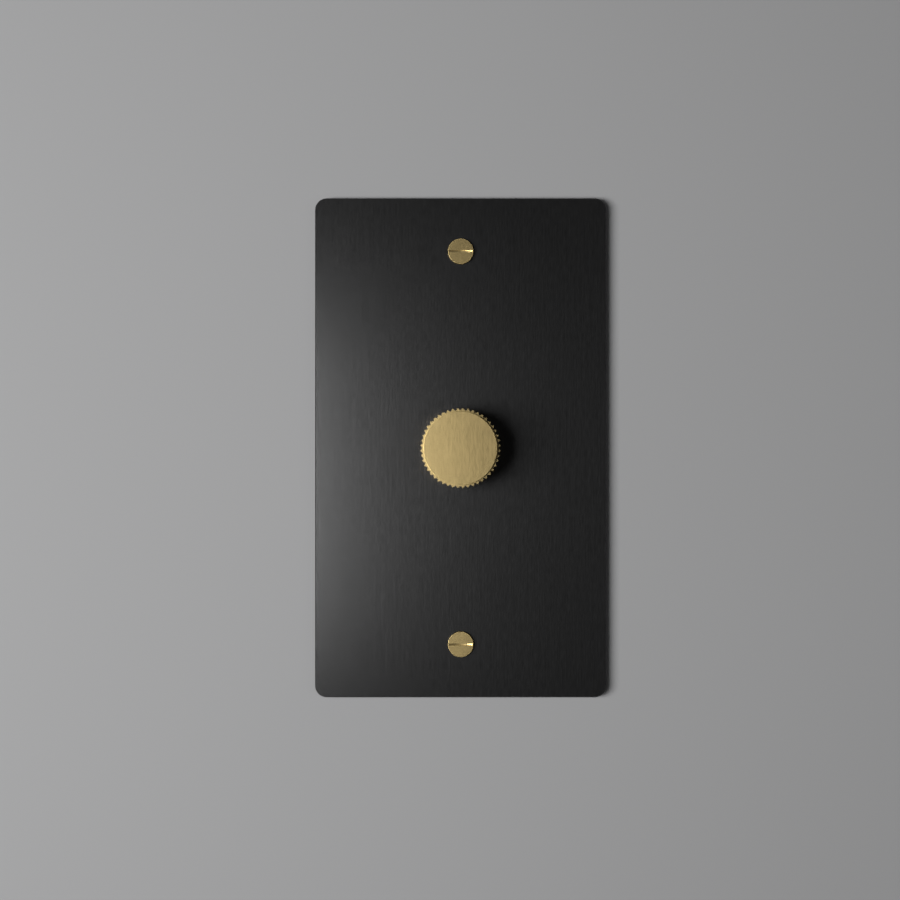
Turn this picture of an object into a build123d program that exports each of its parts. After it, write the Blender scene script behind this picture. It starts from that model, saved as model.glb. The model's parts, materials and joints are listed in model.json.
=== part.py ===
from build123d import *

import math
import os

# A one-gang rotary wall dimmer with a push-to-switch knob.
# Units are millimetres. The origin is on the knob's axis in the plane of the wall, +Z is up,
# -Y points out of the wall at the user and +X is to the user's right.

# Face plate
PLATE_WIDTH = 71.9
PLATE_HEIGHT = 123.2
PLATE_THICKNESS = 3.0
PLATE_CORNER_RADIUS = 2.9
PLATE_EDGE_BREAK = 0.2
PLATE_SCREW_SPACING = 96.84
STRAP_POCKET_MARGIN = 1.0
STRAP_POCKET_AIR = 0.1
PLATE_HOLE_CLEARANCE = 0.35

# Plate screws
PLATE_SCREW_HEAD_RADIUS = 3.1
PLATE_SCREW_HEAD_PROUD = 1.2
PLATE_SCREW_SINK_DEPTH = 0.9
PLATE_SCREW_SINK_CLEARANCE = 0.16
PLATE_SCREW_EDGE_BREAK = 0.15
PLATE_SCREW_SHANK_RADIUS = 1.75
PLATE_SCREW_SHANK_BEHIND_STRAP = 3.4
PLATE_SCREW_SLOT_WIDTH = 0.5
PLATE_SCREW_SLOT_DEPTH = 1.0
PLATE_SCREW_SLOT_LENGTH = 5.8
SLOT_CUTTER_RADIUS = 24.0
THREAD_CLEARANCE = 0.04
SHANK_CLEARANCE = 0.3

# Knob
KNOB_HEIGHT = 15.7
KNOB_TOOTH_COUNT = 48
KNOB_TIP_RADIUS = 9.6
KNOB_TOOTH_DEPTH = 0.66
KNOB_NOSE_RADIUS = 8.7
KNOB_NOSE_HEIGHT = 1.6
KNOB_EDGE_BREAK = 0.1
KNOB_TOOTH_BEVEL = 0.1
KNOB_BASE_COLLAR_HEIGHT = 1.2
KNOB_FACE_THICKNESS = 3.5
KNOB_RECESS_WALL_CLEARANCE = 0.6
KNOB_RECESS_FLOOR_CLEARANCE = 0.7
KNOB_BORE_CLEARANCE = 0.03
KNOB_GAP_WHEN_PUSHED = 0.8
PUSH_TRAVEL = 1.5
TURN_LIMIT_DEG = 135.0

# Grub screw
GRUB_RADIUS = 1.45
GRUB_LENGTH = 5.0
GRUB_SOCKET_ACROSS_FLATS = 1.5
GRUB_SOCKET_DEPTH = 1.8

# Control shaft
SHAFT_RADIUS = 3.0
SHAFT_FLAT_DEPTH = 1.5
SHAFT_END_AIR = 0.2
SHAFT_RUNNING_CLEARANCE = 0.05
SHAFT_TAIL_RADIUS = 2.0
SHAFT_TAIL_LENGTH = 1.0
SHAFT_TO_PLUNGER_AIR = 0.05
RETAINING_RING_RADIUS = 4.8
RETAINING_RING_THICKNESS = 0.8
RETAINING_RING_AIR = 0.1
RETAINING_GROOVE_DEPTH = 0.4

# Mounting strap
STRAP_HEIGHT = 106.4
STRAP_THICKNESS = 1.2
STRAP_RECESS = 0.1
STRAP_BEYOND_HOUSING = 3.45
STRAP_INSIDE_HOUSING = 0.25
STRAP_NECK_WIDTH = 22.0
STRAP_EAR_WIDTH = 34.0
STRAP_EAR_HEIGHT = 7.4
STRAP_CORNER_RADIUS = 1.5
STRAP_COLLAR_LENGTH = 1.3
STRAP_COLLAR_WALL = 0.7
BOX_SCREW_SPACING = 83.34
BOX_SCREW_HOLE_RADIUS = 2.2
BOX_SCREW_SINK_RADIUS = 3.7
BOX_SCREW_SINK_DEPTH = 1.6
BOX_SCREW_HOLE_LENGTH = 1.0
BOX_SCREW_FORM_WALL = 1.0
GROUND_TAB_WIDTH = 9.0
GROUND_TAB_LENGTH = 9.6
GROUND_TAB_FROM_SIDE = 5.0
GROUND_SCREW_HEAD_RADIUS = 3.6
GROUND_SCREW_HEAD_HEIGHT = 2.0
GROUND_SCREW_RADIUS = 2.0
GROUND_SCREW_REACH = 1.8
GROUND_SCREW_EDGE_AIR = 1.2
STEEL_SCREW_EDGE_BREAK = 0.3
STEEL_SCREW_SLOT_WIDTH = 0.9

# Bushing, nut and lock washer
BUSHING_RADIUS = 3.5
BUSHING_BEYOND_NUT = 1.6
BUSHING_FLANGE_THICKNESS = 1.2
BUSHING_SKIRT_WALL = 1.95
BUSHING_HOLE_CLEARANCE = 0.1
LOCATING_PIN_RADIUS = 1.0
LOCATING_PIN_OFFSET = 6.2
LOCATING_PIN_LENGTH = 1.9
NUT_ACROSS_FLATS = 10.0
NUT_THICKNESS = 2.0
LOCK_WASHER_THICKNESS = 0.5
LOCK_WASHER_OUTER_RADIUS = 5.4
LOCK_WASHER_TOOTH_COUNT = 10
LOCK_WASHER_NOTCH_WIDTH = 0.5
LOCK_WASHER_NOTCH_DEPTH = 0.8

# Heat spreader and insulating sheet
SPREADER_THICKNESS = 2.0
SHEET_THICKNESS = 0.3
STACK_SIDE_CLEARANCE = 0.25

# Potentiometer
POT_RADIUS = 8.0
POT_DEPTH = 8.5
POT_WALL = 0.8
POT_BACK = 1.0
POT_INNER_AIR = 0.05
TRACK_THICKNESS = 0.8
TRACK_TAB_WIDTH = 12.0
TRACK_TAB_BEYOND_CASE = 3.0
TRACK_HOLE_AIR = 0.3
TRACK_TERMINAL_PITCH = 4.0
TRACK_TERMINAL_WIDTH = 1.2
TRACK_TERMINAL_THICKNESS = 0.4
ROTOR_DISC_RADIUS = 6.0
ROTOR_DISC_THICKNESS = 2.0
ROTOR_RING_AIR = 0.4
ROTOR_HUB_RADIUS = 4.0
ROTOR_SHOULDER_RADIUS = 4.8
ROTOR_BORE_CLEARANCE = 0.05
ROTOR_LUG_HALF_ANGLE = 12.0
ROTOR_LUG_AIR = 0.3
ROTOR_STOP_AIR = 0.2
STOP_ANGLE_AIR = 1.5
WIPER_THICKNESS = 0.25
WIPER_INNER_RADIUS = 4.95
WIPER_OUTER_RADIUS = 6.0
WIPER_HALF_ANGLE = 35.0
WIPER_FINGER_RADIUS = 0.35
WIPER_FINGER_ANGLE = 26.0

# Circuit board
BOARD_THICKNESS = 1.6
BOARD_EDGE_CLEARANCE = 0.75
BOARD_POST_CLEARANCE = 0.4
BOARD_HOLE_RADIUS = 4.5

# Push switch
SWITCH_WIDTH = 13.0
SWITCH_DEPTH = 10.0
SWITCH_WALL = 1.2
PLUNGER_NOSE_RADIUS = 2.4
PLUNGER_NOSE_PROUD = 0.6
PLUNGER_RUNNING_CLEARANCE = 0.05
PLUNGER_FLANGE_RADIUS = 4.4
PLUNGER_FLANGE_THICKNESS = 1.0
PLUNGER_STEM_RADIUS = 1.8
PLUNGER_STEM_END_AIR = 0.3
PLUNGER_FLANGE_AIR = 0.75
BRIDGE_THICKNESS = 0.3
BRIDGE_INNER_RADIUS = 3.8
BRIDGE_REACH = 4.75
BRIDGE_LUG_WIDTH = 2.4
CONTACT_THICKNESS = 0.3
CONTACT_WIDTH = 2.0
CONTACT_PAD_LENGTH = 1.4
CONTACT_CLOSED_AIR = 0.05
CONTACT_BOARD_ENTRY = 1.3
SPRING_MEAN_RADIUS = 3.0
SPRING_WIRE_RADIUS = 0.3
SPRING_TURNS = 5
SPRING_END_AIR = 0.03

# Rear housing
HOUSING_WIDTH = 44.5
HOUSING_HEIGHT = 69.9
HOUSING_DEPTH = 31.0
HOUSING_WALL = 2.0
HOUSING_CORNER_RADIUS = 2.5
HOUSING_EDGE_RADIUS = 1.2
HOUSING_POST_RADIUS = 3.2
HOUSING_POST_INSET = 4.85
HOUSING_SCREW_RADIUS = 1.3
HOUSING_SCREW_HEAD_RADIUS = 2.5
HOUSING_SCREW_HEAD_HEIGHT = 1.6
HOUSING_SCREW_HEAD_AIR = 0.15
HOUSING_SCREW_SINK_DEPTH = 2.4
CROSS_RECESS_REACH = 1.5
CROSS_RECESS_DEPTH = 1.0
BOARD_REST_WIDTH = 6.0
BOARD_REST_HEIGHT = 3.0
STRIP_GAUGE_LENGTH = 12.0
STRIP_GAUGE_WIDTH = 2.6
STRIP_GAUGE_DEPTH = 0.7

# Wiring terminals
TERMINAL_RECESS_DEPTH = 5.5
TERMINAL_RECESS_HEIGHT = 10.0
TERMINAL_WALL_TO_BOARD = 0.4
TERMINAL_SIDE_OFFSET = 15.0
TERMINAL_PLATE_THICKNESS = 1.0
TERMINAL_PLATE_HEIGHT = 8.4
TERMINAL_PLATE_MARGIN = 2.0
TERMINAL_TAB_WIDTH = 2.4
TERMINAL_TAB_THICKNESS = 0.8
CLAMP_PLATE_THICKNESS = 0.8
CLAMP_PLATE_INSET = 0.5
WIRE_GAP = 2.3
WIRE_HOLE_RADIUS = 1.25
WIRE_HOLE_OFFSET = 2.75
TERMINAL_SCREW_RADIUS = 1.45
TERMINAL_SCREW_HEAD_RADIUS = 3.2
TERMINAL_SCREW_HEAD_HEIGHT = 1.4
TERMINAL_SCREW_REACH = 1.2

# Power device
POWER_BODY_WIDTH = 10.0
POWER_BODY_HEIGHT = 9.0
POWER_BODY_THICKNESS = 4.5
POWER_BODY_BEVEL = 0.3
POWER_TAB_THICKNESS = 1.3
POWER_TAB_HEIGHT = 6.4
POWER_LEAD_PITCH = 2.54
POWER_LEAD_WIDTH = 0.8
POWER_LEAD_THICKNESS = 0.5
POWER_LEAD_DROP = 2.0
POWER_LEAD_LEVEL = 2.4
POWER_SCREW_RADIUS = 1.45
POWER_SCREW_HEAD_RADIUS = 2.7
POWER_SCREW_HEAD_HEIGHT = 1.9
POWER_SCREW_END_AIR = 0.25
PAD_WIDTH = 11.0
PAD_MARGIN = 0.5
PAD_WINDOW_AIR = 0.3

# Parts on the back of the circuit board
CHOKE_FLANGE_RADIUS = 7.5
CHOKE_CORE_RADIUS = 3.0
CHOKE_HEIGHT = 12.0
CHOKE_FLANGE_THICKNESS = 1.4
CHOKE_WINDING_RADIUS = 6.6
CHOKE_WIRE_ROWS = 8
CHOKE_TURN_AIR = 0.01
BULK_CAP_RADIUS = 5.0
BULK_CAP_TO_HOUSING = 2.4
BULK_CAP_EDGE_RADIUS = 0.6
BULK_CAP_GROOVE_HEIGHT = 2.2
BULK_CAP_GROOVE_RADIUS = 0.4
FILM_CAP_WIDTH = 14.0
FILM_CAP_HEIGHT = 11.0
FILM_CAP_THICKNESS = 6.0
FILM_CAP_EDGE_RADIUS = 0.6
FUSE_RADIUS = 4.0
FUSE_HEIGHT = 8.0
FUSE_EDGE_RADIUS = 0.5
CHIP_WIDTH = 6.0
CHIP_HEIGHT = 5.0
CHIP_THICKNESS = 1.5
CHIP_LEG_COUNT = 4
CHIP_LEG_WIDTH = 0.6
CHIP_LEG_REACH = 1.0
CHIP_LEG_THICKNESS = 0.5
CHIP_STANDOFF = 0.25
RESISTOR_RADIUS = 1.1
RESISTOR_LENGTH = 6.0
RESISTOR_LEAD_RADIUS = 0.3
RESISTOR_COUNT = 3
RESISTOR_EDGE_RADIUS = 0.35
RESISTOR_LEAD_BEND = 0.6
RESISTOR_LEAD_BEYOND = 0.9
BOARD_PART_GAP = 0.6
BOARD_PART_WIDE_GAP = 1.4
BOARD_LEAD_CLEARANCE = 0.15
LEAD_BEYOND_BOARD = 0.9

# Levels along Y, worked out from the sizes above
plate_front = -PLATE_THICKNESS
strap_back = -STRAP_RECESS
strap_front = strap_back - STRAP_THICKNESS
pocket_floor = strap_front - STRAP_POCKET_AIR
nut_back = strap_front - LOCK_WASHER_THICKNESS
nut_front = nut_back - NUT_THICKNESS
bushing_front = nut_front - BUSHING_BEYOND_NUT
knob_back = plate_front - PUSH_TRAVEL - KNOB_GAP_WHEN_PUSHED
knob_front = knob_back - KNOB_HEIGHT
knob_recess_floor = bushing_front - PUSH_TRAVEL - KNOB_RECESS_FLOOR_CLEARANCE
knob_bore_end = knob_front + KNOB_FACE_THICKNESS
shaft_front = knob_bore_end + SHAFT_END_AIR
sheet_front = strap_back + SPREADER_THICKNESS
stack_back = sheet_front + SHEET_THICKNESS
flange_back = stack_back + BUSHING_FLANGE_THICKNESS
pot_back = flange_back + POT_DEPTH
track_back = pot_back - POT_BACK
track_front = track_back - TRACK_THICKNESS
ring_front = flange_back + RETAINING_RING_AIR
ring_back = ring_front + RETAINING_RING_THICKNESS
rotor_front = ring_back + PUSH_TRAVEL + ROTOR_RING_AIR
rotor_disc_back = rotor_front + ROTOR_DISC_THICKNESS
rotor_back = pot_back - RETAINING_RING_AIR
board_front = pot_back
board_back = board_front + BOARD_THICKNESS
switch_front = board_back
switch_back = switch_front + SWITCH_DEPTH
plunger_front = switch_front - PLUNGER_NOSE_PROUD
flange_front = switch_front + SWITCH_WALL + PLUNGER_FLANGE_AIR
plunger_flange_back = flange_front + PLUNGER_FLANGE_THICKNESS
switch_floor = switch_back - SWITCH_WALL
bridge_back = plunger_flange_back + BRIDGE_THICKNESS
contact_front = bridge_back + PUSH_TRAVEL + CONTACT_CLOSED_AIR
plunger_end = switch_floor - PUSH_TRAVEL - PLUNGER_STEM_END_AIR
shaft_tail_end = plunger_front - SHAFT_TO_PLUNGER_AIR
shaft_tail_start = shaft_tail_end - SHAFT_TAIL_LENGTH
housing_back = strap_back + HOUSING_DEPTH
housing_floor = housing_back - HOUSING_WALL
recess_start = board_back + TERMINAL_WALL_TO_BOARD + HOUSING_WALL
terminal_plate_start = recess_start + TERMINAL_PLATE_MARGIN
terminal_plate_end = housing_floor - TERMINAL_PLATE_MARGIN
terminal_screw_y = (terminal_plate_start + terminal_plate_end) / 2
grub_y = (knob_bore_end + knob_recess_floor) / 2
lead_end = board_front - LEAD_BEYOND_BOARD
lead_tip = board_back + LEAD_BEYOND_BOARD

# Radii and places worked out from the sizes above
knob_root_radius = KNOB_TIP_RADIUS - KNOB_TOOTH_DEPTH
nut_corner_radius = NUT_ACROSS_FLATS / math.sqrt(3)
pot_inner_radius = POT_RADIUS - POT_WALL
skirt_outer_radius = pot_inner_radius - POT_INNER_AIR
skirt_inner_radius = skirt_outer_radius - BUSHING_SKIRT_WALL
stop_half_angle = 180 - TURN_LIMIT_DEG - ROTOR_LUG_HALF_ANGLE - STOP_ANGLE_AIR
inner_half_width = HOUSING_WIDTH / 2 - HOUSING_WALL
inner_half_height = HOUSING_HEIGHT / 2 - HOUSING_WALL
post_x = HOUSING_WIDTH / 2 - HOUSING_POST_INSET
post_z = HOUSING_HEIGHT / 2 - HOUSING_POST_INSET
post_places = [(x, z) for x in (-post_x, post_x) for z in (-post_z, post_z)]
recess_floor_x = HOUSING_WIDTH / 2 - TERMINAL_RECESS_DEPTH
clamp_x = recess_floor_x + TERMINAL_PLATE_THICKNESS + WIRE_GAP
terminal_places = [(-1, TERMINAL_SIDE_OFFSET), (-1, -TERMINAL_SIDE_OFFSET), (1, 0.0)]
strap_body_width = HOUSING_WIDTH - 2 * STRAP_INSIDE_HOUSING
strap_body_height = HOUSING_HEIGHT + 2 * STRAP_BEYOND_HOUSING
ground_tab_x = strap_body_width / 2 - GROUND_TAB_FROM_SIDE - GROUND_TAB_WIDTH / 2
stack_half_width = inner_half_width - STACK_SIDE_CLEARANCE
stack_half_height = inner_half_height - STACK_SIDE_CLEARANCE
board_half_width = inner_half_width - BOARD_EDGE_CLEARANCE
board_half_height = inner_half_height - BOARD_EDGE_CLEARANCE
board_rest_edge = board_half_height - BOARD_REST_HEIGHT
track_tab_reach = POT_RADIUS + TRACK_TAB_BEYOND_CASE
rotor_lug_radius = pot_inner_radius - ROTOR_LUG_AIR
power_device_length = POWER_LEAD_DROP + POWER_BODY_HEIGHT + POWER_TAB_HEIGHT
power_lead_z = (POT_RADIUS + stack_half_height - power_device_length) / 2
power_bottom_z = power_lead_z + POWER_LEAD_DROP
power_top_z = power_bottom_z + POWER_BODY_HEIGHT
power_tab_z = power_top_z + POWER_TAB_HEIGHT / 2
upper_row_half_width = (2 * CHOKE_FLANGE_RADIUS + BOARD_PART_GAP + 2 * BULK_CAP_RADIUS) / 2
choke_x = CHOKE_FLANGE_RADIUS - upper_row_half_width
choke_z = (power_lead_z + POWER_LEAD_THICKNESS + board_rest_edge) / 2
bulk_cap_x = upper_row_half_width - BULK_CAP_RADIUS
bulk_cap_height = housing_floor - board_back - BULK_CAP_TO_HOUSING
film_cap_z = -track_tab_reach - BOARD_PART_GAP - FILM_CAP_THICKNESS / 2
film_cap_bottom = film_cap_z - FILM_CAP_THICKNESS / 2
resistor_top_z = film_cap_bottom - BOARD_PART_GAP - RESISTOR_RADIUS
resistor_bottom_z = BOARD_PART_GAP + RESISTOR_RADIUS - board_rest_edge
resistor_lead_x = RESISTOR_LENGTH / 2 + RESISTOR_LEAD_BEYOND
resistor_pitch = (resistor_top_z - resistor_bottom_z) / (RESISTOR_COUNT - 1)
fuse_x = resistor_lead_x + BOARD_PART_WIDE_GAP + FUSE_RADIUS
fuse_z = (resistor_top_z + resistor_bottom_z) / 2
chip_x = -resistor_lead_x - BOARD_PART_WIDE_GAP - CHIP_WIDTH / 2
chip_leg_pitch = CHIP_WIDTH / CHIP_LEG_COUNT
chip_leg_places = [(k + 0.5) * chip_leg_pitch - CHIP_WIDTH / 2 for k in range(CHIP_LEG_COUNT)]
resistor_rows = [resistor_top_z - k * resistor_pitch for k in range(RESISTOR_COUNT)]

# How a cylinder stands on its place
UPWARDS = (Align.CENTER, Align.CENTER, Align.MIN)
DOWNWARDS = (Align.CENTER, Align.CENTER, Align.MAX)


# Basic shapes
def block(x_span, y_span, z_span):
    size = [max(span) - min(span) for span in (x_span, y_span, z_span)]
    centre = [(max(span) + min(span)) / 2 for span in (x_span, y_span, z_span)]
    return Pos(*centre) * Box(*size)


def slab(outline, y_front, y_back):
    return extrude(Plane.XZ.offset(-y_back) * outline, y_back - y_front)


def rod(radius, y_front, y_back, x=0.0, z=0.0):
    return slab(Pos(x, z) * Circle(radius), y_front, y_back)


def tube(outer, inner, y_front, y_back, x=0.0, z=0.0):
    return rod(outer, y_front, y_back, x, z) - rod(inner, y_front, y_back, x, z)


def turned(points):
    return revolve(Plane.XY * Polygon(*points, align=None), Axis.Y)


def sector(outer, inner, centre_deg, half_angle_deg, y_front, y_back):
    reach = 2 * outer
    angles = [math.radians(centre_deg + side * half_angle_deg) for side in (-1, 1)]
    rays = [(reach * math.cos(a), reach * math.sin(a)) for a in angles]
    wedge = slab(Polygon((0, 0), *rays, align=None), y_front, y_back)
    return tube(outer, inner, y_front, y_back) & wedge


def d_outline(radius, flat_depth):
    flat_z = flat_depth - radius
    return Circle(radius) - Pos(0, flat_z - radius) * Rectangle(4 * radius, 2 * radius)


def milled_slot(y_face, depth, width, length):
    cutter = Pos(0, y_face + depth - SLOT_CUTTER_RADIUS, 0) * Cylinder(SLOT_CUTTER_RADIUS, width)
    return cutter & rod(length / 2, y_face, y_face + depth)


# Face plate and its screws
def make_face_plate():
    outline = RectangleRounded(PLATE_WIDTH, PLATE_HEIGHT, PLATE_CORNER_RADIUS)
    plate = slab(outline, plate_front, 0)
    plate = chamfer(plate.faces().sort_by(Axis.Y)[0].edges(), PLATE_EDGE_BREAK)
    pocket_width = strap_body_width + 2 * STRAP_POCKET_MARGIN
    pocket_height = STRAP_HEIGHT + 2 * STRAP_POCKET_MARGIN
    pocket_radius = STRAP_CORNER_RADIUS + STRAP_POCKET_MARGIN
    pocket = RectangleRounded(pocket_width, pocket_height, pocket_radius)
    plate -= slab(pocket, pocket_floor, 0)
    plate -= rod(nut_corner_radius + PLATE_HOLE_CLEARANCE, plate_front, 0)
    sink_floor = plate_front + PLATE_SCREW_SINK_DEPTH
    sink_radius = PLATE_SCREW_HEAD_RADIUS + PLATE_SCREW_SINK_CLEARANCE
    for z in (PLATE_SCREW_SPACING / 2, -PLATE_SCREW_SPACING / 2):
        plate -= rod(sink_radius, plate_front, sink_floor, z=z)
        plate -= rod(PLATE_SCREW_SHANK_RADIUS + SHANK_CLEARANCE, plate_front, 0, z=z)
    return plate


def make_plate_screw(z):
    head_front = plate_front - PLATE_SCREW_HEAD_PROUD
    head_back = plate_front + PLATE_SCREW_SINK_DEPTH
    head = rod(PLATE_SCREW_HEAD_RADIUS, head_front, head_back)
    head = chamfer(head.faces().sort_by(Axis.Y)[0].edges(), PLATE_SCREW_EDGE_BREAK)
    head -= milled_slot(
        head_front, PLATE_SCREW_SLOT_DEPTH, PLATE_SCREW_SLOT_WIDTH, PLATE_SCREW_SLOT_LENGTH,
    )
    shank = rod(PLATE_SCREW_SHANK_RADIUS, head_back, PLATE_SCREW_SHANK_BEHIND_STRAP)
    return Pos(0, 0, z) * (head + shank)


def make_plate_screws():
    return [make_plate_screw(z) for z in (PLATE_SCREW_SPACING / 2, -PLATE_SCREW_SPACING / 2)]


# Knob, grub screw, shaft and retaining ring
def tooth_outline():
    pitch = 2 * math.pi / KNOB_TOOTH_COUNT
    points = []
    for k in range(KNOB_TOOTH_COUNT):
        for angle, radius in ((k * pitch, knob_root_radius), ((k + 0.5) * pitch, KNOB_TIP_RADIUS)):
            points.append((radius * math.cos(angle), radius * math.sin(angle)))
    return Polygon(*points, align=None)


def make_knob():
    teeth_front = knob_front + KNOB_NOSE_HEIGHT
    teeth_back = knob_back - KNOB_BASE_COLLAR_HEIGHT
    bevelled_tip = KNOB_TIP_RADIUS - KNOB_TOOTH_BEVEL
    envelope = turned([
        (0, teeth_front),
        (bevelled_tip, teeth_front),
        (KNOB_TIP_RADIUS, teeth_front + KNOB_TOOTH_BEVEL),
        (KNOB_TIP_RADIUS, teeth_back - KNOB_TOOTH_BEVEL),
        (bevelled_tip, teeth_back),
        (0, teeth_back),
    ])
    teeth = slab(tooth_outline(), teeth_front, teeth_back) & envelope
    nose_edge = KNOB_NOSE_RADIUS - KNOB_EDGE_BREAK
    core = turned([
        (0, knob_front),
        (nose_edge, knob_front),
        (KNOB_NOSE_RADIUS, knob_front + KNOB_EDGE_BREAK),
        (KNOB_NOSE_RADIUS, knob_back - KNOB_EDGE_BREAK),
        (nose_edge, knob_back),
        (0, knob_back),
    ])
    knob = teeth + core
    knob -= rod(nut_corner_radius + KNOB_RECESS_WALL_CLEARANCE, knob_recess_floor, knob_back)
    bore = d_outline(SHAFT_RADIUS + KNOB_BORE_CLEARANCE, SHAFT_FLAT_DEPTH)
    knob -= slab(bore, knob_bore_end, knob_recess_floor)
    grub_hole = Cylinder(GRUB_RADIUS + THREAD_CLEARANCE, KNOB_TIP_RADIUS, align=DOWNWARDS)
    return knob - Pos(0, grub_y, 0) * grub_hole


def make_grub_screw():
    inner_end = SHAFT_FLAT_DEPTH - SHAFT_RADIUS - KNOB_BORE_CLEARANCE
    screw = Cylinder(GRUB_RADIUS, GRUB_LENGTH, align=DOWNWARDS)
    socket = extrude(RegularPolygon(GRUB_SOCKET_ACROSS_FLATS / math.sqrt(3), 6), GRUB_SOCKET_DEPTH)
    screw -= Pos(0, 0, -GRUB_LENGTH) * socket
    return Pos(0, grub_y, inner_end) * screw


def make_control_shaft():
    front_flat_end = knob_recess_floor
    rear_flat_start = rotor_front - PUSH_TRAVEL
    shaft = slab(d_outline(SHAFT_RADIUS, SHAFT_FLAT_DEPTH), shaft_front, front_flat_end)
    shaft += rod(SHAFT_RADIUS, front_flat_end, rear_flat_start)
    shaft += slab(d_outline(SHAFT_RADIUS, SHAFT_FLAT_DEPTH), rear_flat_start, shaft_tail_start)
    shaft += rod(SHAFT_TAIL_RADIUS, shaft_tail_start, shaft_tail_end)
    groove_floor = SHAFT_RADIUS - RETAINING_GROOVE_DEPTH
    shaft -= tube(2 * SHAFT_RADIUS, groove_floor, ring_front, ring_back)
    return shaft


def make_retaining_ring():
    groove_floor = SHAFT_RADIUS - RETAINING_GROOVE_DEPTH
    ring = tube(RETAINING_RING_RADIUS, groove_floor + THREAD_CLEARANCE, ring_front, ring_back)
    mouth = block((-groove_floor, groove_floor), (ring_front, ring_back), (0, 2 * RETAINING_RING_RADIUS))
    return ring - mouth


# Mounting strap and ground screw
def make_formed_sink(z):
    sink_floor = strap_front + BOX_SCREW_SINK_DEPTH
    form_back = sink_floor + BOX_SCREW_HOLE_LENGTH
    return Pos(0, 0, z) * turned([
        (0, strap_front),
        (BOX_SCREW_SINK_RADIUS + BOX_SCREW_FORM_WALL, strap_front),
        (BOX_SCREW_SINK_RADIUS + BOX_SCREW_FORM_WALL, strap_back),
        (BOX_SCREW_HOLE_RADIUS + BOX_SCREW_FORM_WALL, sink_floor),
        (BOX_SCREW_HOLE_RADIUS + BOX_SCREW_FORM_WALL, form_back),
        (0, form_back),
    ])


def cut_formed_sink(z):
    sink_floor = strap_front + BOX_SCREW_SINK_DEPTH
    form_back = sink_floor + BOX_SCREW_HOLE_LENGTH
    return Pos(0, 0, z) * turned([
        (0, strap_front),
        (BOX_SCREW_SINK_RADIUS, strap_front),
        (BOX_SCREW_HOLE_RADIUS, sink_floor),
        (BOX_SCREW_HOLE_RADIUS, form_back),
        (0, form_back),
    ])


def ground_tab_levels():
    tab_top = STRAP_THICKNESS - strap_body_height / 2
    return tab_top, tab_top - STRAP_THICKNESS


def ground_screw_y():
    return strap_back + GROUND_TAB_LENGTH - GROUND_SCREW_HEAD_RADIUS - GROUND_SCREW_EDGE_AIR


def make_mounting_strap():
    ear_z = (STRAP_HEIGHT - STRAP_EAR_HEIGHT) / 2
    outline = RectangleRounded(strap_body_width, strap_body_height, STRAP_CORNER_RADIUS)
    outline += Rectangle(STRAP_NECK_WIDTH, STRAP_HEIGHT - STRAP_EAR_HEIGHT)
    for z in (ear_z, -ear_z):
        outline += Pos(0, z) * RectangleRounded(STRAP_EAR_WIDTH, STRAP_EAR_HEIGHT, STRAP_CORNER_RADIUS)
    strap = slab(outline, strap_front, strap_back)
    tab_top, tab_bottom = ground_tab_levels()
    tab_sides = [ground_tab_x + side * GROUND_TAB_WIDTH / 2 for side in (-1, 1)]
    strap += block(tab_sides, (strap_front, strap_back + GROUND_TAB_LENGTH), (tab_bottom, tab_top))
    collar_radius = PLATE_SCREW_SHANK_RADIUS + STRAP_COLLAR_WALL
    thread_radius = PLATE_SCREW_SHANK_RADIUS + THREAD_CLEARANCE
    collar_back = strap_back + STRAP_COLLAR_LENGTH
    for side in (1, -1):
        plate_screw_z = side * PLATE_SCREW_SPACING / 2
        strap += make_formed_sink(side * BOX_SCREW_SPACING / 2)
        strap += rod(collar_radius, strap_front, collar_back, z=plate_screw_z)
        strap -= cut_formed_sink(side * BOX_SCREW_SPACING / 2)
        strap -= rod(thread_radius, strap_front, collar_back, z=plate_screw_z)
    strap -= rod(BUSHING_RADIUS + BUSHING_HOLE_CLEARANCE, strap_front, strap_back)
    for x, z in post_places:
        strap -= rod(HOUSING_SCREW_RADIUS + THREAD_CLEARANCE, strap_front, strap_back, x, z)
    ground_hole = Cylinder(GROUND_SCREW_RADIUS + THREAD_CLEARANCE, 4 * STRAP_THICKNESS)
    strap -= Pos(ground_tab_x, ground_screw_y(), tab_top) * ground_hole
    return strap


def make_ground_screw():
    tab_bottom = ground_tab_levels()[1]
    head = Cylinder(GROUND_SCREW_HEAD_RADIUS, GROUND_SCREW_HEAD_HEIGHT, align=DOWNWARDS)
    head = chamfer(head.faces().sort_by(Axis.Z)[0].edges(), STEEL_SCREW_EDGE_BREAK)
    slot = Box(3 * GROUND_SCREW_HEAD_RADIUS, STEEL_SCREW_SLOT_WIDTH, GROUND_SCREW_HEAD_HEIGHT)
    head -= Pos(0, 0, -GROUND_SCREW_HEAD_HEIGHT) * slot
    shank = Cylinder(GROUND_SCREW_RADIUS, STRAP_THICKNESS + GROUND_SCREW_REACH, align=UPWARDS)
    return Pos(ground_tab_x, ground_screw_y(), tab_bottom) * (head + shank)


# Nut, lock washer, heat spreader and insulating sheet
def make_shaft_nut():
    hexagon = RegularPolygon(nut_corner_radius, 6)
    nut = slab(hexagon, nut_front, nut_back)
    return nut - rod(BUSHING_RADIUS + THREAD_CLEARANCE, nut_front, nut_back)


def make_lock_washer():
    hole_radius = BUSHING_RADIUS + BUSHING_HOLE_CLEARANCE
    washer = tube(LOCK_WASHER_OUTER_RADIUS, hole_radius, nut_back, strap_front)
    notch = Rectangle(2 * LOCK_WASHER_NOTCH_DEPTH, LOCK_WASHER_NOTCH_WIDTH)
    for k in range(LOCK_WASHER_TOOTH_COUNT):
        turn = Rot(0, 0, 360 * k / LOCK_WASHER_TOOTH_COUNT)
        washer -= slab(turn * Pos(LOCK_WASHER_OUTER_RADIUS, 0) * notch, nut_back, strap_front)
    return washer


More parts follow.
